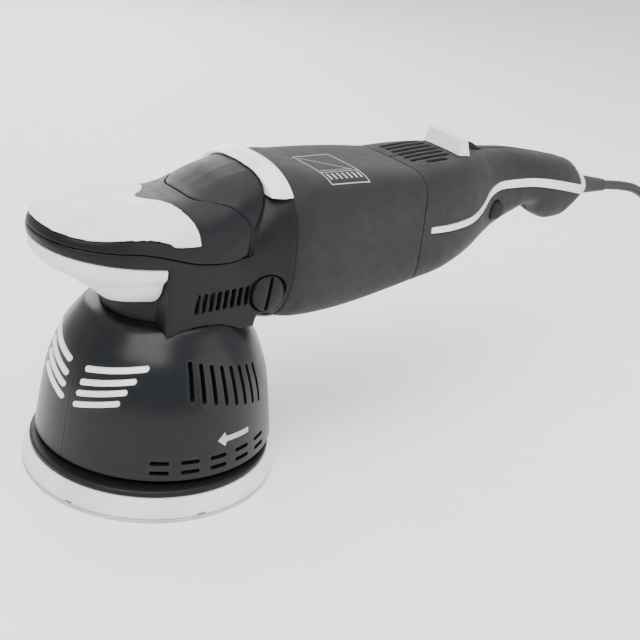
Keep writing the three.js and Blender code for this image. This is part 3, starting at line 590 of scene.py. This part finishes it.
def finishes():
    paints = {
        # In each moulding below, the fourth value is the colour of its painted edge highlight.
        "white_rubber": moulding("white_rubber", (0.74, 0.745, 0.735), 0.5, (0.86, 0.86, 0.85), 2200, 0.03),
        "white_plastic": moulding("white_plastic", (0.79, 0.8, 0.805), 0.3, (0.92, 0.92, 0.92), 2600, 0.012),
        "black_plastic": moulding(
            "black_plastic", (0.0045, 0.0052, 0.0065), 0.42, (0.015, 0.0165, 0.019), 2300, 0.03,
        ),
        "gloss_black": moulding(
            "gloss_black", (0.0036, 0.0046, 0.0058), 0.3, (0.014, 0.0155, 0.017), 2600, 0.008,
        ),
        "soft_grey": moulding(
            "soft_grey", (0.0125, 0.0122, 0.0118), 0.62, (0.026, 0.0255, 0.025), 1500, 0.05,
        ),
        "aluminium": metal("aluminium", (0.5, 0.51, 0.52), 0.42, (1, 1, 1), 0.08),
        "steel": metal("steel", (0.42, 0.43, 0.45), 0.28, (1, 1, 12)),
        "bronze": metal("bronze", (0.45, 0.25, 0.09), 0.34, (6, 1, 1)),
        "copper": Paint("copper", (0.42, 0.16, 0.06), 0.35, 0.85),
        "lamination": metal("lamination", (0.16, 0.17, 0.18), 0.45, (1, 1, 1)),
        "foam": Paint("foam", (0.83, 0.76, 0.745), 0.9),
        "hook": Paint("hook", (0.72, 0.68, 0.665), 0.95),
        "carbon": moulding("carbon", (0.02, 0.02, 0.021), 0.7, (0.05, 0.05, 0.05), 3000, 0.04),
        "board": moulding("board", (0.03, 0.1, 0.045), 0.4, (0.08, 0.18, 0.1), 800, 0.15),
        "cord_rubber": moulding("cord_rubber", (0.014, 0.0145, 0.015), 0.45, (0.04, 0.04, 0.04), 2000, 0.03),
    }
    for name in ("black_plastic", "gloss_black", "soft_grey"):
        paints[name].shine(Specular_IOR_Level=0.2)
    paints["gloss_black"].shine(Coat_Weight=0.15, Coat_Roughness=0.25)
    paints["white_plastic"].shine(Coat_Weight=0.25, Coat_Roughness=0.2)
    paints["soft_grey"].shine(Sheen_Weight=0.08, Sheen_Roughness=0.5)
    paints["white_rubber"].shine(Sheen_Weight=0.05)
    copper = paints["copper"]
    copper.flecked((0.18, 0.05, 0.02), 500, 0.5, 0.7, 0.6).relief(copper.bands("X", 420, 1.5), 0.35, 0.8)
    copper.relief(copper.noise(900), 0.05)
    lamination = paints["lamination"]
    lamination.relief(lamination.bands("X", 628), 0.1, 0.7)
    foam = paints["foam"]
    foam.flecked((0.62, 0.54, 0.52), 1800, 0.6, 0.75, 0.4)
    foam.relief(foam.cells(1300), 0.4, 0.9).relief(foam.noise(350, 4), 0.25, 0.4)
    hook = paints["hook"]
    hook.flecked((0.5, 0.47, 0.46), 2400, 0.5, 0.65, 0.8).relief(hook.cells(1400), 0.7, 1.0)
    hook.relief(hook.noise(2600, 2), 0.4, 0.8)
    return paints


PAINTS = finishes()
MARKING = moulding("marking", (0.36, 0.36, 0.35), 0.5, (0.5, 0.5, 0.5), 2600, 0.01)
TIE_FABRIC = Paint("tie_fabric", (0.02, 0.02, 0.022), 0.9)
TIE_FABRIC.relief(TIE_FABRIC.bands("DIAGONAL", 500), 0.2, 0.8)
TIE_FABRIC.flecked((0.06, 0.06, 0.06), 2500, 0.5, 0.7, 0.7)


def finish_piece(piece, slot, body, nodes=(), paint=None):
    """Gives a piece its finish, hangs it under its body's empty and hides the CAD nodes it stands for."""
    piece.data.materials.clear()
    piece.data.materials.append((paint or PAINTS[slot]).material)
    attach(piece, body)
    if nodes:
        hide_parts(*nodes)
    return piece


# ---- head ----
def head_outline(c, s, inset):
    front = DOME_CENTRE_X - NOSE_X - inset
    rear = DOME_END_X - DOME_CENTRE_X - inset
    full = 2.25 if c < 0 else 6
    x = DOME_CENTRE_X + (front if c < 0 else rear) * bend(c, full)
    return x, (HEAD_HALF_WIDTH - inset) * bend(s, full)


def dome(inset, name="dome"):
    """The head's upper form: domed in front over its plan outline, and an even arch towards the rear."""
    def place(t, c, s):
        angle = math.radians(89.5) * t
        share = math.cos(angle)
        edge_x, edge_y = head_outline(c, s, inset)
        x = DOME_CENTRE_X + share * (edge_x - DOME_CENTRE_X)
        y = share * edge_y
        across = min(1, abs(y) / (HEAD_HALF_WIDTH - inset)) if c > 0 else share
        lift = (1 - across**2.8) ** (1 / 2.8) if t > 0 else 0
        top = station(HEAD_TOP, x)[0] - inset
        return (x, y, base_line(x) + (top - base_line(x)) * lift)

    return skin(name, 144, 48, place)


def chin(inset, name="chin"):
    """The lower pad's form: the same outline, rounded off downwards."""
    def place(t, c, s):
        angle = math.radians(88) * t
        share = math.cos(angle)
        edge_x, edge_y = head_outline(c, s, inset + 1)
        x = DOME_CENTRE_X + share * (edge_x - DOME_CENTRE_X)
        drop = (1 - share**3.2) ** (1 / 3.2) * (0.6 + 0.4 * eased((x + 68) / 24))
        return (x, share * edge_y, rim_line(x) - GAP - inset / 3 - (28 - inset) * drop)

    return skin(name, 144, 36, place)


def body(table, start, end, inset, steps=60, around=128, name="body"):
    """A body lofted along X through its stations."""
    def place(t, c, s):
        x = start + t * (end - start)
        width, top, bottom, middle, full = station(table, x)
        rise = (top - middle if s > 0 else middle - bottom) - inset
        return (x, (width - inset) * bend(c, full), middle + rise * bend(s, full))

    return skin(name, around, steps, place)


def front_region(line, edge, spread):
    """Everything above a side line and in front of a rear edge, both moved outwards by spread."""
    side = [(x, z + SEAM - spread) for x, z in spline(line, 4)]
    rear = [(station(edge, y)[0] + spread, y) for y in (n * 0.75 for n in range(81))]
    plan = [(NOSE_X - 20, -60)] + [(x, -y) for x, y in rear[::-1]] + rear[1:] + [(NOSE_X - 20, 60)]
    region = slab(side + [(60, 220), (NOSE_X - 20, 220)], -70, 70)
    return meet(region, prism(plan, lambda x: 100, lambda x: 215))


def head_core(inset):
    half = HEAD_HALF_WIDTH - inset
    radius = CORE_RADIUS - inset
    start = math.acos((STEP_X + inset) / radius)
    outline = [(50, -half), (50, half), (STEP_X + inset, half)]
    for i in range(41):
        angle = start + i / 40 * 2 * (math.pi - start)
        outline.append((radius * math.cos(angle), radius * math.sin(angle)))
    outline.append((STEP_X + inset, -half))
    return outline


def shroud_form(extra):
    curve = [(r + extra, z) for r, z in spline([(39, SHROUD_TOP)] + SHROUD_OUTER, 6)]
    return turned("shroud", "z", [(0, SHROUD_TOP + extra)] + curve + [(0, SHROUD_BOTTOM)], sides=160)


def head_slots(side):
    pitch = 4.7
    slots = []
    for i in range(8):
        x = -3 + i * pitch
        outline = rounded([(x - 1.2, 108), (x + 1.2, 108), (x + 2.2, 119.5), (x - 0.2, 119.5)], 0.5, 3)
        y = side * HEAD_HALF_WIDTH
        slots.append(slab(outline, y - 5, y + 5))
    return slots


def make_head():
    top_pad = meet(dome(-0.8, "top_palm_pad"), front_region(PAD_LINE, PAD_EDGE, 0))
    top_pad = moulded(cut(top_pad, dome(PAD_SKIN)), 0.6, 10)
    finish_piece(top_pad, "white_rubber", "tool", ["palm_pad_top"])

    cover = cut(dome(0, "cover_shell"), front_region(PAD_LINE, PAD_EDGE, GAP))
    cover = join(cover, dome(PAD_SKIN + GAP))
    cover = meet(cover, front_region(COVER_LINE, COVER_EDGE, 0))
    cover = moulded(cut(cover, dome(COVER_SHELL)), 0.6, 5)
    finish_piece(cover, "black_plastic", "tool", ["upper_cover"])

    low_pad = cut(
        chin(0, "lower_palm_pad"),
        rod("z", CORE_RADIUS + GAP, 90, 150, sides=96),
        box((STEP_X - GAP, 80), (-60, 60), (80, 160)),
        meet(chin(9), box((-100, -30), (-60, 60), (80, 160))),
    )
    low_pad = moulded(low_pad, 0.6, 10)
    draw_in_bulb(low_pad)
    finish_piece(low_pad, "white_rubber", "tool", ["palm_pad_lower"])

    rim_half = HEAD_HALF_WIDTH - 0.4
    rim_turns = [math.radians(90 + 2.5 * i) for i in range(73)]
    rim = [head_outline(math.cos(a), math.sin(a), 0.4) for a in rim_turns]
    rim = [(-20, rim_half), *rim, (-20, -rim_half)]
    cover_room = front_region(COVER_LINE, COVER_EDGE, GAP)
    housing = combine(dome(0, "gear_head"), "DIFFERENCE", [cover_room], keep=True)
    core = prism(head_core(0), lambda x: 93, lambda x: base_line(x) + 1)
    core = moulded(cut(core, slab([(34, 80), (39, 100), (62, 100), (62, 80)], -60, 60)), 0.8, 5)
    housing = join(
        housing,
        body(COLLAR, 20, HEAD_END_X, 0),
        core,
        prism(rim, rim_line, lambda x: base_line(x) + 2),
    )
    cutters = [cover_room, shroud_form(GAP), rod("z", 33, 90, 150), dome(COVER_SHELL)]
    cutters.append(prism(head_core(3), lambda x: 103, lambda x: base_line(x) + 1))
    cutters.append(body(COLLAR, 21, HEAD_END_X + 1, 3))
    for side in (-1, 1):
        cutters += head_slots(side)
        ends = sorted((side * 37, side * 60))
        cutters.append(rod("y", PLUG_RADIUS + 0.6, *ends, PLUG))
    housing = moulded(cut(housing, *cutters), 0.6, 5)
    finish_piece(housing, "black_plastic", "tool", ["head_housing"])


def draw_in_bulb(pad):
    """Draws the lower pad's underside in below its roll, with a soft crease between them."""
    inward = 3.6
    backward = 3.6
    for vertex in pad.data.vertices:
        x, y, z = (value / MM for value in vertex.co)
        crease = 131.5 - 0.06 * (x + 25)
        depth = eased((crease + 2 - z) / 7)
        side = eased((abs(y) - 12) / 14)
        front = eased((-38 - x) / 20) * eased((126 - z) / 8)
        vertex.co.y -= math.copysign(inward * depth * side, y) * MM
        vertex.co.x += backward * depth * front * MM


def make_trim_bands():
    ring = body(BAND, 44.6, HEAD_END_X, 0, 24, name="head_band_top")
    ring = cut(ring, body(COLLAR, 44, 58, -GAP), dome(-0.5))
    lower = copied(ring, "head_band_bottom")
    top = moulded(meet(ring, box((40, 60), (-60, 60), (169, 200))), 0.35, 4)
    finish_piece(top, "white_plastic", "tool", ["front_trim_band"])
    lower = cut(meet(lower, box((40, 60), (-60, 60), (70, 92))), shroud_form(GAP))
    finish_piece(moulded(lower, 0.4, 4), "white_plastic", "tool", ["lower_trim_band"])


def make_socket_plug(side, name, node):
    """The cap in a side handle's socket, with a slot for a coin across it."""
    x, _, z = PLUG
    edge = PLUG_RADIUS
    cap = [(0, 32), (6, 32), (6, 40), (edge, 40), (edge, 43.6)]
    cap += [(edge - 0.3, 44.2), (edge - 1, 44.5), (0, 44.9)]
    half_width, half_length = 1.2, 10.3
    corners = [
        (x - half_width, z - half_length), (x + half_width, z - half_length),
        (x + half_width, z + half_length), (x - half_width, z + half_length),
    ]
    slot = slab(rounded(corners, 1.1), 42.2, 47)
    plug = cut(turned(name, "y", cap, PLUG, 96), turn(slot, 8, "Y", PLUG))
    if side < 0:
        mirror(plug)
    finish_piece(machined(plug, 0.25), "black_plastic", "tool", [node])


# ---- shroud ----
def radial_slot(angle, low, high, width, radius=0.9):
    """A rounded slot through the shroud's wall, width across and from low to high."""
    half = width / 2
    outline = rounded([(-half, low), (half, low), (half, high), (-half, high)], radius, 4)
    count = len(outline)
    points = [(40, y, z) for y, z in outline] + [(80, y, z) for y, z in outline]
    faces = [tuple(range(count)), tuple(range(2 * count - 1, count - 1, -1))]
    faces += [(j, (j + 1) % count, count + (j + 1) % count, count + j) for j in range(count)]
    return turn(new_piece("slot", points, faces), angle)


def rib_slot(rib, spread):
    angle, z, length, tilt = rib
    half = 1.5 + spread
    slot = radial_slot(0, -half, half, length + 2 * spread, half)
    turn(slot, tilt, "X")
    return turn(shift(slot, z=z), angle)


def slot_screen():
    """A thin dark wall behind the slots, joined to the shell above and below them."""
    wall = [(r, z) for r, z in spline([(38, SHROUD_TOP - 3.5)] + SHROUD_INNER, 6) if 48 < z < 92]
    outer = [(r + (0.8 if z > 88.5 or z < 50 else -2.4), z) for r, z in wall]
    inner = [(r - 3.4, z) for r, z in wall]
    return turned("screen", "z", outer + inner[::-1], sides=128)


def make_shroud():
    outer = spline([(39, SHROUD_TOP)] + SHROUD_OUTER, 6)
    inner = spline([(38, SHROUD_TOP - 3.5)] + SHROUD_INNER, 4)[::-1]
    profile = [(26.9, SHROUD_TOP), *outer, (70.2, SHROUD_BOTTOM - 0.2), *inner, (26.9, SHROUD_TOP - 3.5)]
    half = turned("shroud_shell_left", "z", profile, sides=256)
    cutters = []
    for i in range(8):
        t = i / 7
        cutters.append(radial_slot(245.7 + 6.5 * i, 65.5 - 14 * t, 86 - 11 * t, 2.6, 1.2))
    for z in (24.7, 30.5):
        cutters += [radial_slot(230.5 + 14.6 * i, z - 1.2, z + 1.2, 11, 1.1) for i in range(5)]
    cutters += [rib_slot(rib, 0.15) for rib in RIBS]
    half = join(cut(half, *cutters), slot_screen())
    half = meet(half, box((-90, 90), (-90, -0.12), (0, 120)))
    other = mirror(copied(half, "shroud_shell_right"))
    for piece, node in ((half, "shroud_left"), (other, "shroud_right")):
        finish_piece(machined(turn(piece, SHROUD_TURN), 0.35), "gloss_black", "tool", [node])


def make_ribs():
    """Each half's four slanted ribs, standing a little proud on one web behind the wall."""
    wall = [(38, SHROUD_TOP - 3.5)] + SHROUD_INNER
    back = [(r * 0.991, z) for r, z in spline(wall, 3)]
    front = [(r * 0.965, z) for r, z in spline(wall, 3)][::-1]
    web = turned("grip_ribs_left", "z", back + front, sides=128)
    window = turn(box((40, 80), (-20, 20), (50, 88)), RIBS[1][0])
    ribs = []
    for rib in RIBS:
        ribs.append(cut(meet(rib_slot(rib, 0), shroud_form(1.1)), turned("core", "z", [
            (0, SHROUD_TOP), *[(r * 0.98, z) for r, z in spline(wall, 3)], (0, SHROUD_BOTTOM),
        ], sides=128)))
    half = join(meet(web, window), *ribs)
    half = meet(half, box((-90, 90), (-90, -1), (0, 120)))
    other = mirror(copied(half, "grip_ribs_right"))
    for piece, node in ((half, "rib_insert_left"), (other, "rib_insert_right")):
        finish_piece(moulded(turn(piece, SHROUD_TURN), 0.35, 4), "white_plastic", "tool", [node])


def shroud_radius(z):
    curve = spline([(39, SHROUD_TOP)] + SHROUD_OUTER, 12)
    for (r0, z0), (r1, z1) in zip(curve, curve[1:]):
        if z1 <= z <= z0:
            return r0 + (r1 - r0) * (z0 - z) / (z0 - z1)
    return SHROUD_OUTER[-1][0]


def make_turn_arrow():
    """The printed arrow that shows which way the plate turns."""
    shaft = 1.6
    points = []
    faces = []
    strips = 24
    for i in range(strips + 1):
        u = 24 * i / strips
        reach = 5 * u / 6 if u < 6 else shaft
        for v in (reach, -reach):
            z = 40.1 - 0.02 * u + v
            angle = math.radians(270.4) + u / 68
            radius = shroud_radius(z) + 0.06
            points.append((radius * math.cos(angle), radius * math.sin(angle), z))
    for i in range(strips):
        faces.append((2 * i, 2 * i + 1, 2 * i + 3, 2 * i + 2))
    arrow = new_piece("turn_arrow", points, faces)
    thick = arrow.modifiers.new("thick", "SOLIDIFY")
    thick.thickness = 0.12 * MM
    thick.offset = 0
    settle(arrow)
    finish_piece(arrow, "white_plastic", "tool", paint=MARKING)


# ---- plate ----
def make_plate():
    centre = (PAD_X, PAD_Y, 0)
    disc = [
        (4.4, 13.8), (70.5, 13.8), (70.9, 14.3), (71, 15.6), (70.8, 16.6), (70, 17.2), (69, 17.4), (60, 17.4),
        (58.6, 16.9), (57.2, 17.4), (32, 17.4), (30, 17.6), (25, 19.6), (23, 20), (4.4, 20),
    ]
    finish_piece(machined(turned("backing_plate", "z", disc, centre, 192), 0.15), "black_plastic", "pad",
                 ["backing_disc"])
    foam = [(7.6, 1.9), (73.9, 1.9), (74.7, 2.2), (75, 3), (75, 4.2), (74.7, 6), (74, 8.2), (72.8, 10.9),
            (71.6, 12.9), (70.9, 13.4), (70, 13.5), (7.6, 13.5)]
    cushion = turned("foam_layer", "z", foam, centre, 192)
    notches = []
    for angle in range(23, 383, 60):
        notch = turn(slab([(70, 1), (80, 1), (80, 4.6), (73.4, 3.4)], -2.6, 2.6), angle)
        notches.append(shift(notch, PAD_X, PAD_Y))
    cushion = machined(cut(cushion, *notches), 0.2)
    finish_piece(cushion, "foam", "pad", ["backing_foam"])
    hooks = [(4.5, 0), (PLATE_RADIUS - 0.5, 0), (PLATE_RADIUS - 0.1, 0.3), (PLATE_RADIUS, 0.9),
             (PLATE_RADIUS - 0.2, 1.4), (PLATE_RADIUS - 0.6, 1.6), (4.5, 1.6)]
    finish_piece(machined(turned("hook_layer", "z", hooks, centre, 192), 0.1), "hook", "pad", ["hook_face"])


# ---- motor housing ----
def make_motor_housing():
    shell = cut(body(HOUSING, 58, 162.7, 0, 70, name="motor_shell"), body(HOUSING, 57, 164, 3, 40))
    webs = [body(HOUSING, 100, 104, 1.5, 2), body(HOUSING, 156, 159, 1.5, 2)]
    webs.append(rod("x", 14.5, 156, 162, (0, 0, MOTOR_Z)))
    shell = join(shell, *webs)
    holes = []
    for angle in (45, 135, 225, 315):
        hole = rod("x", 5, 90, 165, (0, 0, MOTOR_Z + 24), 24)
        holes.append(turn(hole, angle, "X", (0, 0, MOTOR_Z)))
    shell = cut(
        shell,
        rod("x", 35.3, 95, 110, (0, 0, MOTOR_Z), 64),
        rod("x", 11.3, 157.7, 165, (0, 0, MOTOR_Z)),
        rod("x", 5, 150, 160, (0, 0, MOTOR_Z), 24),
        *holes,
    )
    finish_piece(moulded(shell, 0.8, 3), "soft_grey", "tool", ["motor_housing"])


def surface_height(table, x, y):
    """The height of a lofted body's top at (x, y)."""
    width, top, _, middle, full = station(table, x)
    c = (abs(y) / width) ** (full / 2)
    return middle + (top - middle) * bend(math.sqrt(max(0, 1 - c * c)), full)


def marking_strip(table, start, end, width):
    """A thin printed line on the housing's top, as points and faces."""
    steps = max(2, round(math.dist(start, end) / 2))
    along = Vector((end[0] - start[0], end[1] - start[1])).normalized()
    side = Vector((-along.y, along.x)) * width / 2
    points = []
    for i in range(steps + 1):
        t = i / steps
        x = start[0] + t * (end[0] - start[0])
        y = start[1] + t * (end[1] - start[1])
        for sign in (-1, 1):
            px, py = x + sign * side.x, y + sign * side.y
            points.append((px, py, surface_height(table, px, py) + 0.05))
    faces = [(2 * i, 2 * i + 1, 2 * i + 3, 2 * i + 2) for i in range(steps)]
    return points, faces


def make_chart():
    """A plain scale on the housing's top: a frame, a divider, a slanted line and ticks, without lettering."""
    x0, x1 = 88.3, 117
    y0, y1 = 36, -10
    lines = [((x0, -y0), (x1, -y0), 0.6), ((x1, -y0), (x1, -y1 - 4), 0.6), ((x0, -y0), (x0, 4), 0.6)]
    lines += [((x0, 4), (x1, -y1 - 4), 0.6), ((x0, -24), (x1, -24), 0.45), ((x0 + 2, 2), (x1 - 4, -22), 0.4)]
    lines += [((x0 + 3 + 3.8 * i, -26), (x0 + 3 + 3.8 * i, -32), 1.2) for i in range(7)]
    lines += [((x0 + 3 + 2 * i, -22.5), (x0 + 3 + 2 * i, -20.5), 0.35) for i in range(12)]
    points = []
    faces = []
    for start, end, width in lines:
        strip, quads = marking_strip(HOUSING, start, end, width)
        faces += [tuple(len(points) + k for k in quad) for quad in quads]
        points += strip
    chart = new_piece("speed_chart", points, faces)
    thick = chart.modifiers.new("thick", "SOLIDIFY")
    thick.thickness = 0.1 * MM
    thick.offset = 0
    settle(chart)
    finish_piece(chart, "soft_grey", "tool", paint=MARKING)


# ---- handle ----
def stripe_outline(spread):
    """The stripe's outline: its centre line, widened towards the tail, which it wraps."""
    centre = spline(STRIPE, 5)
    half = [2 + (x - 171) / 120 + spread for x, _ in centre]
    upper = [(x - spread, z + h) for (x, z), h in zip(centre, half)]
    lower = [(x, z - h) for (x, z), h in zip(centre, half)]
    inner = spline([(342, 133.5), (339, 139), (333, 148), (326, 160)], 4)[1:]
    inner = [(x - 3 * spread, z - spread) for x, z in inner]
    outer = [(380, 160), (380, 120), (356, 122 - spread)]
    return upper + inner + outer + lower[::-1]


def handle_form(inset, start=HANDLE_FRONT_X, end=TAIL_X, steps=80, name="handle"):
    return body(HANDLE, start, end, inset, steps, name=name)


def relief_room():
    centre = (0, 0, RELIEF_Z)
    return [rod("x", 5.3, 335, 380, centre), rod("x", 7.9, 335, 349, centre)]


def make_handle():
    trim_room = cut(slab(stripe_outline(GAP), -60, 60), handle_form(1.6, 164, TAIL_X + 1))
    vents = []
    half = 1.5
    for y in (-18, -12, -6, 0, 6, 12, 18):
        x0, x1 = (170, 203) if y > -18 else (178, 196)
        outline = rounded([(x0, y - half), (x1, y - half), (x1, y + half), (x0, y + half)], 1.4, 3)
        vents.append(prism(outline, lambda x: 160, lambda x: 180))
    shell = cut(
        handle_form(0, name="handle_grip_left"),
        handle_form(3, HANDLE_FRONT_X - 1, 346),
        trim_room,
        slab(rounded(TRIGGER_ROOM, 2.5), -13, 13),
        box((DIAL[0] - 14, DIAL[0] + 14), (-4.2, 4.2), (140, 190)),
        rod("y", 6.8, -60, 0, BUTTON),
        *relief_room(),
        *vents,
    )
    other = copied(shell, "handle_grip_right")
    left = meet(shell, box((150, 400), (-60, -0.12), (50, 200)))
    right = meet(other, box((150, 400), (0.12, 60), (50, 200)))
    finish_piece(moulded(left, 0.7, 4), "soft_grey", "tool", ["handle_shell_left"])
    finish_piece(moulded(right, 0.7, 4), "soft_grey", "tool", ["handle_shell_right"])

    trim = meet(slab(stripe_outline(0), -60, 60), handle_form(-0.5, 166, TAIL_X))
    trim = cut(trim, handle_form(1.3, 165, TAIL_X + 1), *relief_room())
    trim.name = "handle_stripe"
    finish_piece(moulded(trim, 0.35, 3), "white_plastic", "tool", ["handle_trim"])


def make_rear_cap():
    def place(t, c, s):
        z, half_x, half_y = (low + t * (high - low) for low, high in zip(CAP_LOW, CAP_HIGH))
        return (CAP_X + half_x * bend(c, 6), half_y * bend(s, 6), z)

    cap = cut(skin("top_cap", 96, 20, place), handle_form(-GAP))
    finish_piece(moulded(cap, 0.35, 4), "white_plastic", "tool", ["rear_cap"])


def make_speed_dial():
    x, _, z = DIAL
    outline = []
    for i in range(144):
        angle = 2 * math.pi * i / 144
        radius = 10.85 + 0.15 * math.cos(36 * angle)
        outline.append((x + radius * math.cos(angle), z + radius * math.sin(angle)))
    wheel = slab(outline, -3.5, 3.5)
    wheel.name = "speed_wheel"
    wheel = join(wheel, rod("y", 2, -9, 9, DIAL))
    finish_piece(machined(wheel, 0.15, 50), "black_plastic", "speed_dial", ["speed_dial"])


def make_trigger():
    x, _, z = TRIGGER_PIVOT
    paddle = [(232.3, 104), (232.3, 125.5), (252, 125.5), (283, 126.5), (286, 124), (286, 104)]
    trigger = meet(slab(paddle, -12.5, 12.5), handle_form(0.2, 225, 290))
    trigger = cut(trigger, rod("z", 4, 124, 140, (270, 0, 0), 32))
    lever = slab([(250, 122), (250, 129), (262, 129), (262, 122)], -8, 8)
    trigger = cut(join(trigger, lever), rod("y", 2.3, -20, 20, (x, 0, z), 32))
    trigger.name = "trigger_paddle"
    finish_piece(moulded(trigger, 0.4, 5), "black_plastic", "trigger", ["trigger"])


def make_lock_button():
    profile = [(0, -27), (4.2, -27), (5.4, -26.7), (6.2, -26), (6.5, -25)]
    profile += [(6.5, -19), (4, -19), (4, -14), (0, -14)]
    button = turned("lock_on_button", "y", profile, BUTTON, 64)
    finish_piece(machined(button, 0.2), "black_plastic", "lock_button", ["lock_button"])


# ---- strain relief, plug and tie ----
def make_strain_relief():
    tilt = math.radians(RELIEF_TILT)
    profile = [(0, -2), (5, -2), (5, 1.8), (6.8, 1.8)]
    for i in range(7):
        x = 3 + 3.3 * i
        r = 6.7 - 0.28 * i
        profile += [(r, x), (r, x + 1.9), (r - 0.9, x + 2.2), (r - 0.9, x + 3)]
    profile += [(4.7, 27), (4.6, 29), (0, 29)]
    sleeve = turned("cord_guard", "x", profile, (0, 0, 0), 64)
    sleeve.data.transform(Matrix.Translation((TAIL_X * MM, 0, RELIEF_Z * MM)) @ Matrix.Rotation(tilt, 4, "Y"))
    centre = (0, 0, RELIEF_Z)
    sleeve = join(sleeve, rod("x", 7.6, 346, 348.5, centre), rod("x", 5, 346, 352, centre))
    return finish_piece(moulded(sleeve, 0.35, 3), "cord_rubber", "tool", ["strain_relief"])


def make_plug():
    """A two-pin mains plug: ribbed neck, waisted grip and flat face with round pins."""
    grip = [(0, 0), (4.6, 0), (5.5, 1.5)]
    for i in range(4):
        grip += [(5.5, 2 + 3 * i), (5.5, 3.6 + 3 * i), (4.7, 3.9 + 3 * i), (4.7, 4.7 + 3 * i)]
    grip += [(7.5, 15), (9, 18), (10, 21), (11.6, 24), (12.7, 28)]
    grip += [(12.9, 31), (12.9, 34), (12.3, 35), (0, 35)]
    plug = turned("mains_plug", "x", grip, (0, 0, 0), 96)
    for vertex in plug.data.vertices:
        spread = min(max((vertex.co.x / MM - 15) / 8, 0), 1)
        vertex.co.y *= 1 + 0.4 * spread
    body_part = moulded(plug, 0.4, 4)
    pins = []
    for y in (-9.5, 9.5):
        pin = [(0, 34), (2.4, 34), (2.4, 52.4), (2.0, 53.5), (1.2, 54), (0, 54)]
        pins.append(machined(turned("pin", "x", pin, (0, y, 0), 32), 0.1))
    place = Matrix.Translation(Vector((COIL_X + 4.6, COIL_Y + 32.7, 55.7)) * MM)
    place = place @ Matrix.Rotation(math.radians(-8), 4, "Z")
    for part, name in ((body_part, "mains_plug"), (pins[0], "plug_pin_a"), (pins[1], "plug_pin_b")):
        part.name = name
        part.data.transform(place)
    finish_piece(body_part, "cord_rubber", "tool", ["cord_plug"])
    for pin in pins:
        finish_piece(pin, "steel", "tool")
    return [body_part, *pins]


def make_tie():
    """A fabric strap round the coil's section."""
    outer = rounded([(28.6, 0), (51.4, 0), (51.4, 43), (28.6, 43)], 3.5, 6)
    inner = rounded([(29.3, 0.7), (50.7, 0.7), (50.7, 42.3), (29.3, 42.3)], 3, 6)
    strap = cut(slab(outer, -7, 7), slab(inner, -8, 8))
    strap.name = "coil_tie"
    place = Matrix.Translation(Vector((COIL_X, COIL_Y, 0)) * MM) @ Matrix.Rotation(math.radians(250), 4, "Z")
    strap.data.transform(place)
    return finish_piece(machined(strap, 0.15), "cord_rubber", "tool", paint=TIE_FABRIC)


def finish_cord(guard, plug_parts, tie):
    finish_piece(mains_cord, "cord_rubber", "tool", ["cord", "cord_coil"])
    round(length_of(route), 2)


# ---- the CAD pieces that stay, with a finish and softened edges ----
def finish_cad_nodes():
    slots = {part["node"]: part["material_slot"] for part in frame["record"]["subparts"]}
    for name, node in frame["nodes"].items():
        if node.hide_render:
            continue
        for holder in node.material_slots:
            holder.material = PAINTS[slots[name]].material
        bevel = node.modifiers.new("bevel", "BEVEL")
        bevel.width = 0.25 * MM
        bevel.segments = 2
        bevel.limit_method = "ANGLE"
        bevel.angle_limit = math.radians(40)


# ---- studio ----
def area_light(name, place, target, size, power):
    data = bpy.data.lights.new(name, "AREA")
    data.size = size
    data.energy = power
    lamp = bpy.data.objects.new(name, data)
    lamp.location = place
    lamp.rotation_euler = (Vector(target) - Vector(place)).to_track_quat("-Z", "Y").to_euler()
    bpy.context.collection.objects.link(lamp)


def make_studio():
    floor = bpy.data.meshes.new("floor")
    floor.from_pydata([(-15, -15, 0), (15, -15, 0), (15, 15, 0), (-15, 15, 0)], [], [(0, 1, 2, 3)])
    ground = bpy.data.objects.new("floor", floor)
    ground.location.z = -0.0002
    bpy.context.collection.objects.link(ground)
    paint = Paint("floor", (0.94, 0.94, 0.94), 0.8, spread=0.012)
    floor.materials.append(paint.material)
    world = bpy.data.worlds.new("studio")
    world.use_nodes = True
    world.node_tree.nodes["Background"].inputs["Color"].default_value = (0.97, 0.98, 1, 1)
    world.node_tree.nodes["Background"].inputs["Strength"].default_value = 1.05
    bpy.context.scene.world = world
    middle = (0.1, 0, 0.12)
    area_light("key", (-0.55, -0.5, 1.35), middle, 1.1, 24)
    area_light("fill", (0.9, -1.2, 0.6), middle, 1.2, 8)
    area_light("top", (0.25, 0.2, 1.5), middle, 1.4, 16)
    area_light("rim", (0.4, 1.2, 0.6), middle, 0.8, 8)


make_head()
make_trim_bands()
make_socket_plug(-1, "socket_cap_left", "socket_plug_left")
make_socket_plug(1, "socket_cap_right", "socket_plug_right")
make_shroud()
make_ribs()
make_turn_arrow()
make_plate()
make_motor_housing()
make_chart()
make_handle()
make_rear_cap()
make_speed_dial()
make_trigger()
make_lock_button()
finish_cord(make_strain_relief(), make_plug(), make_tie())
finish_cad_nodes()
make_studio()
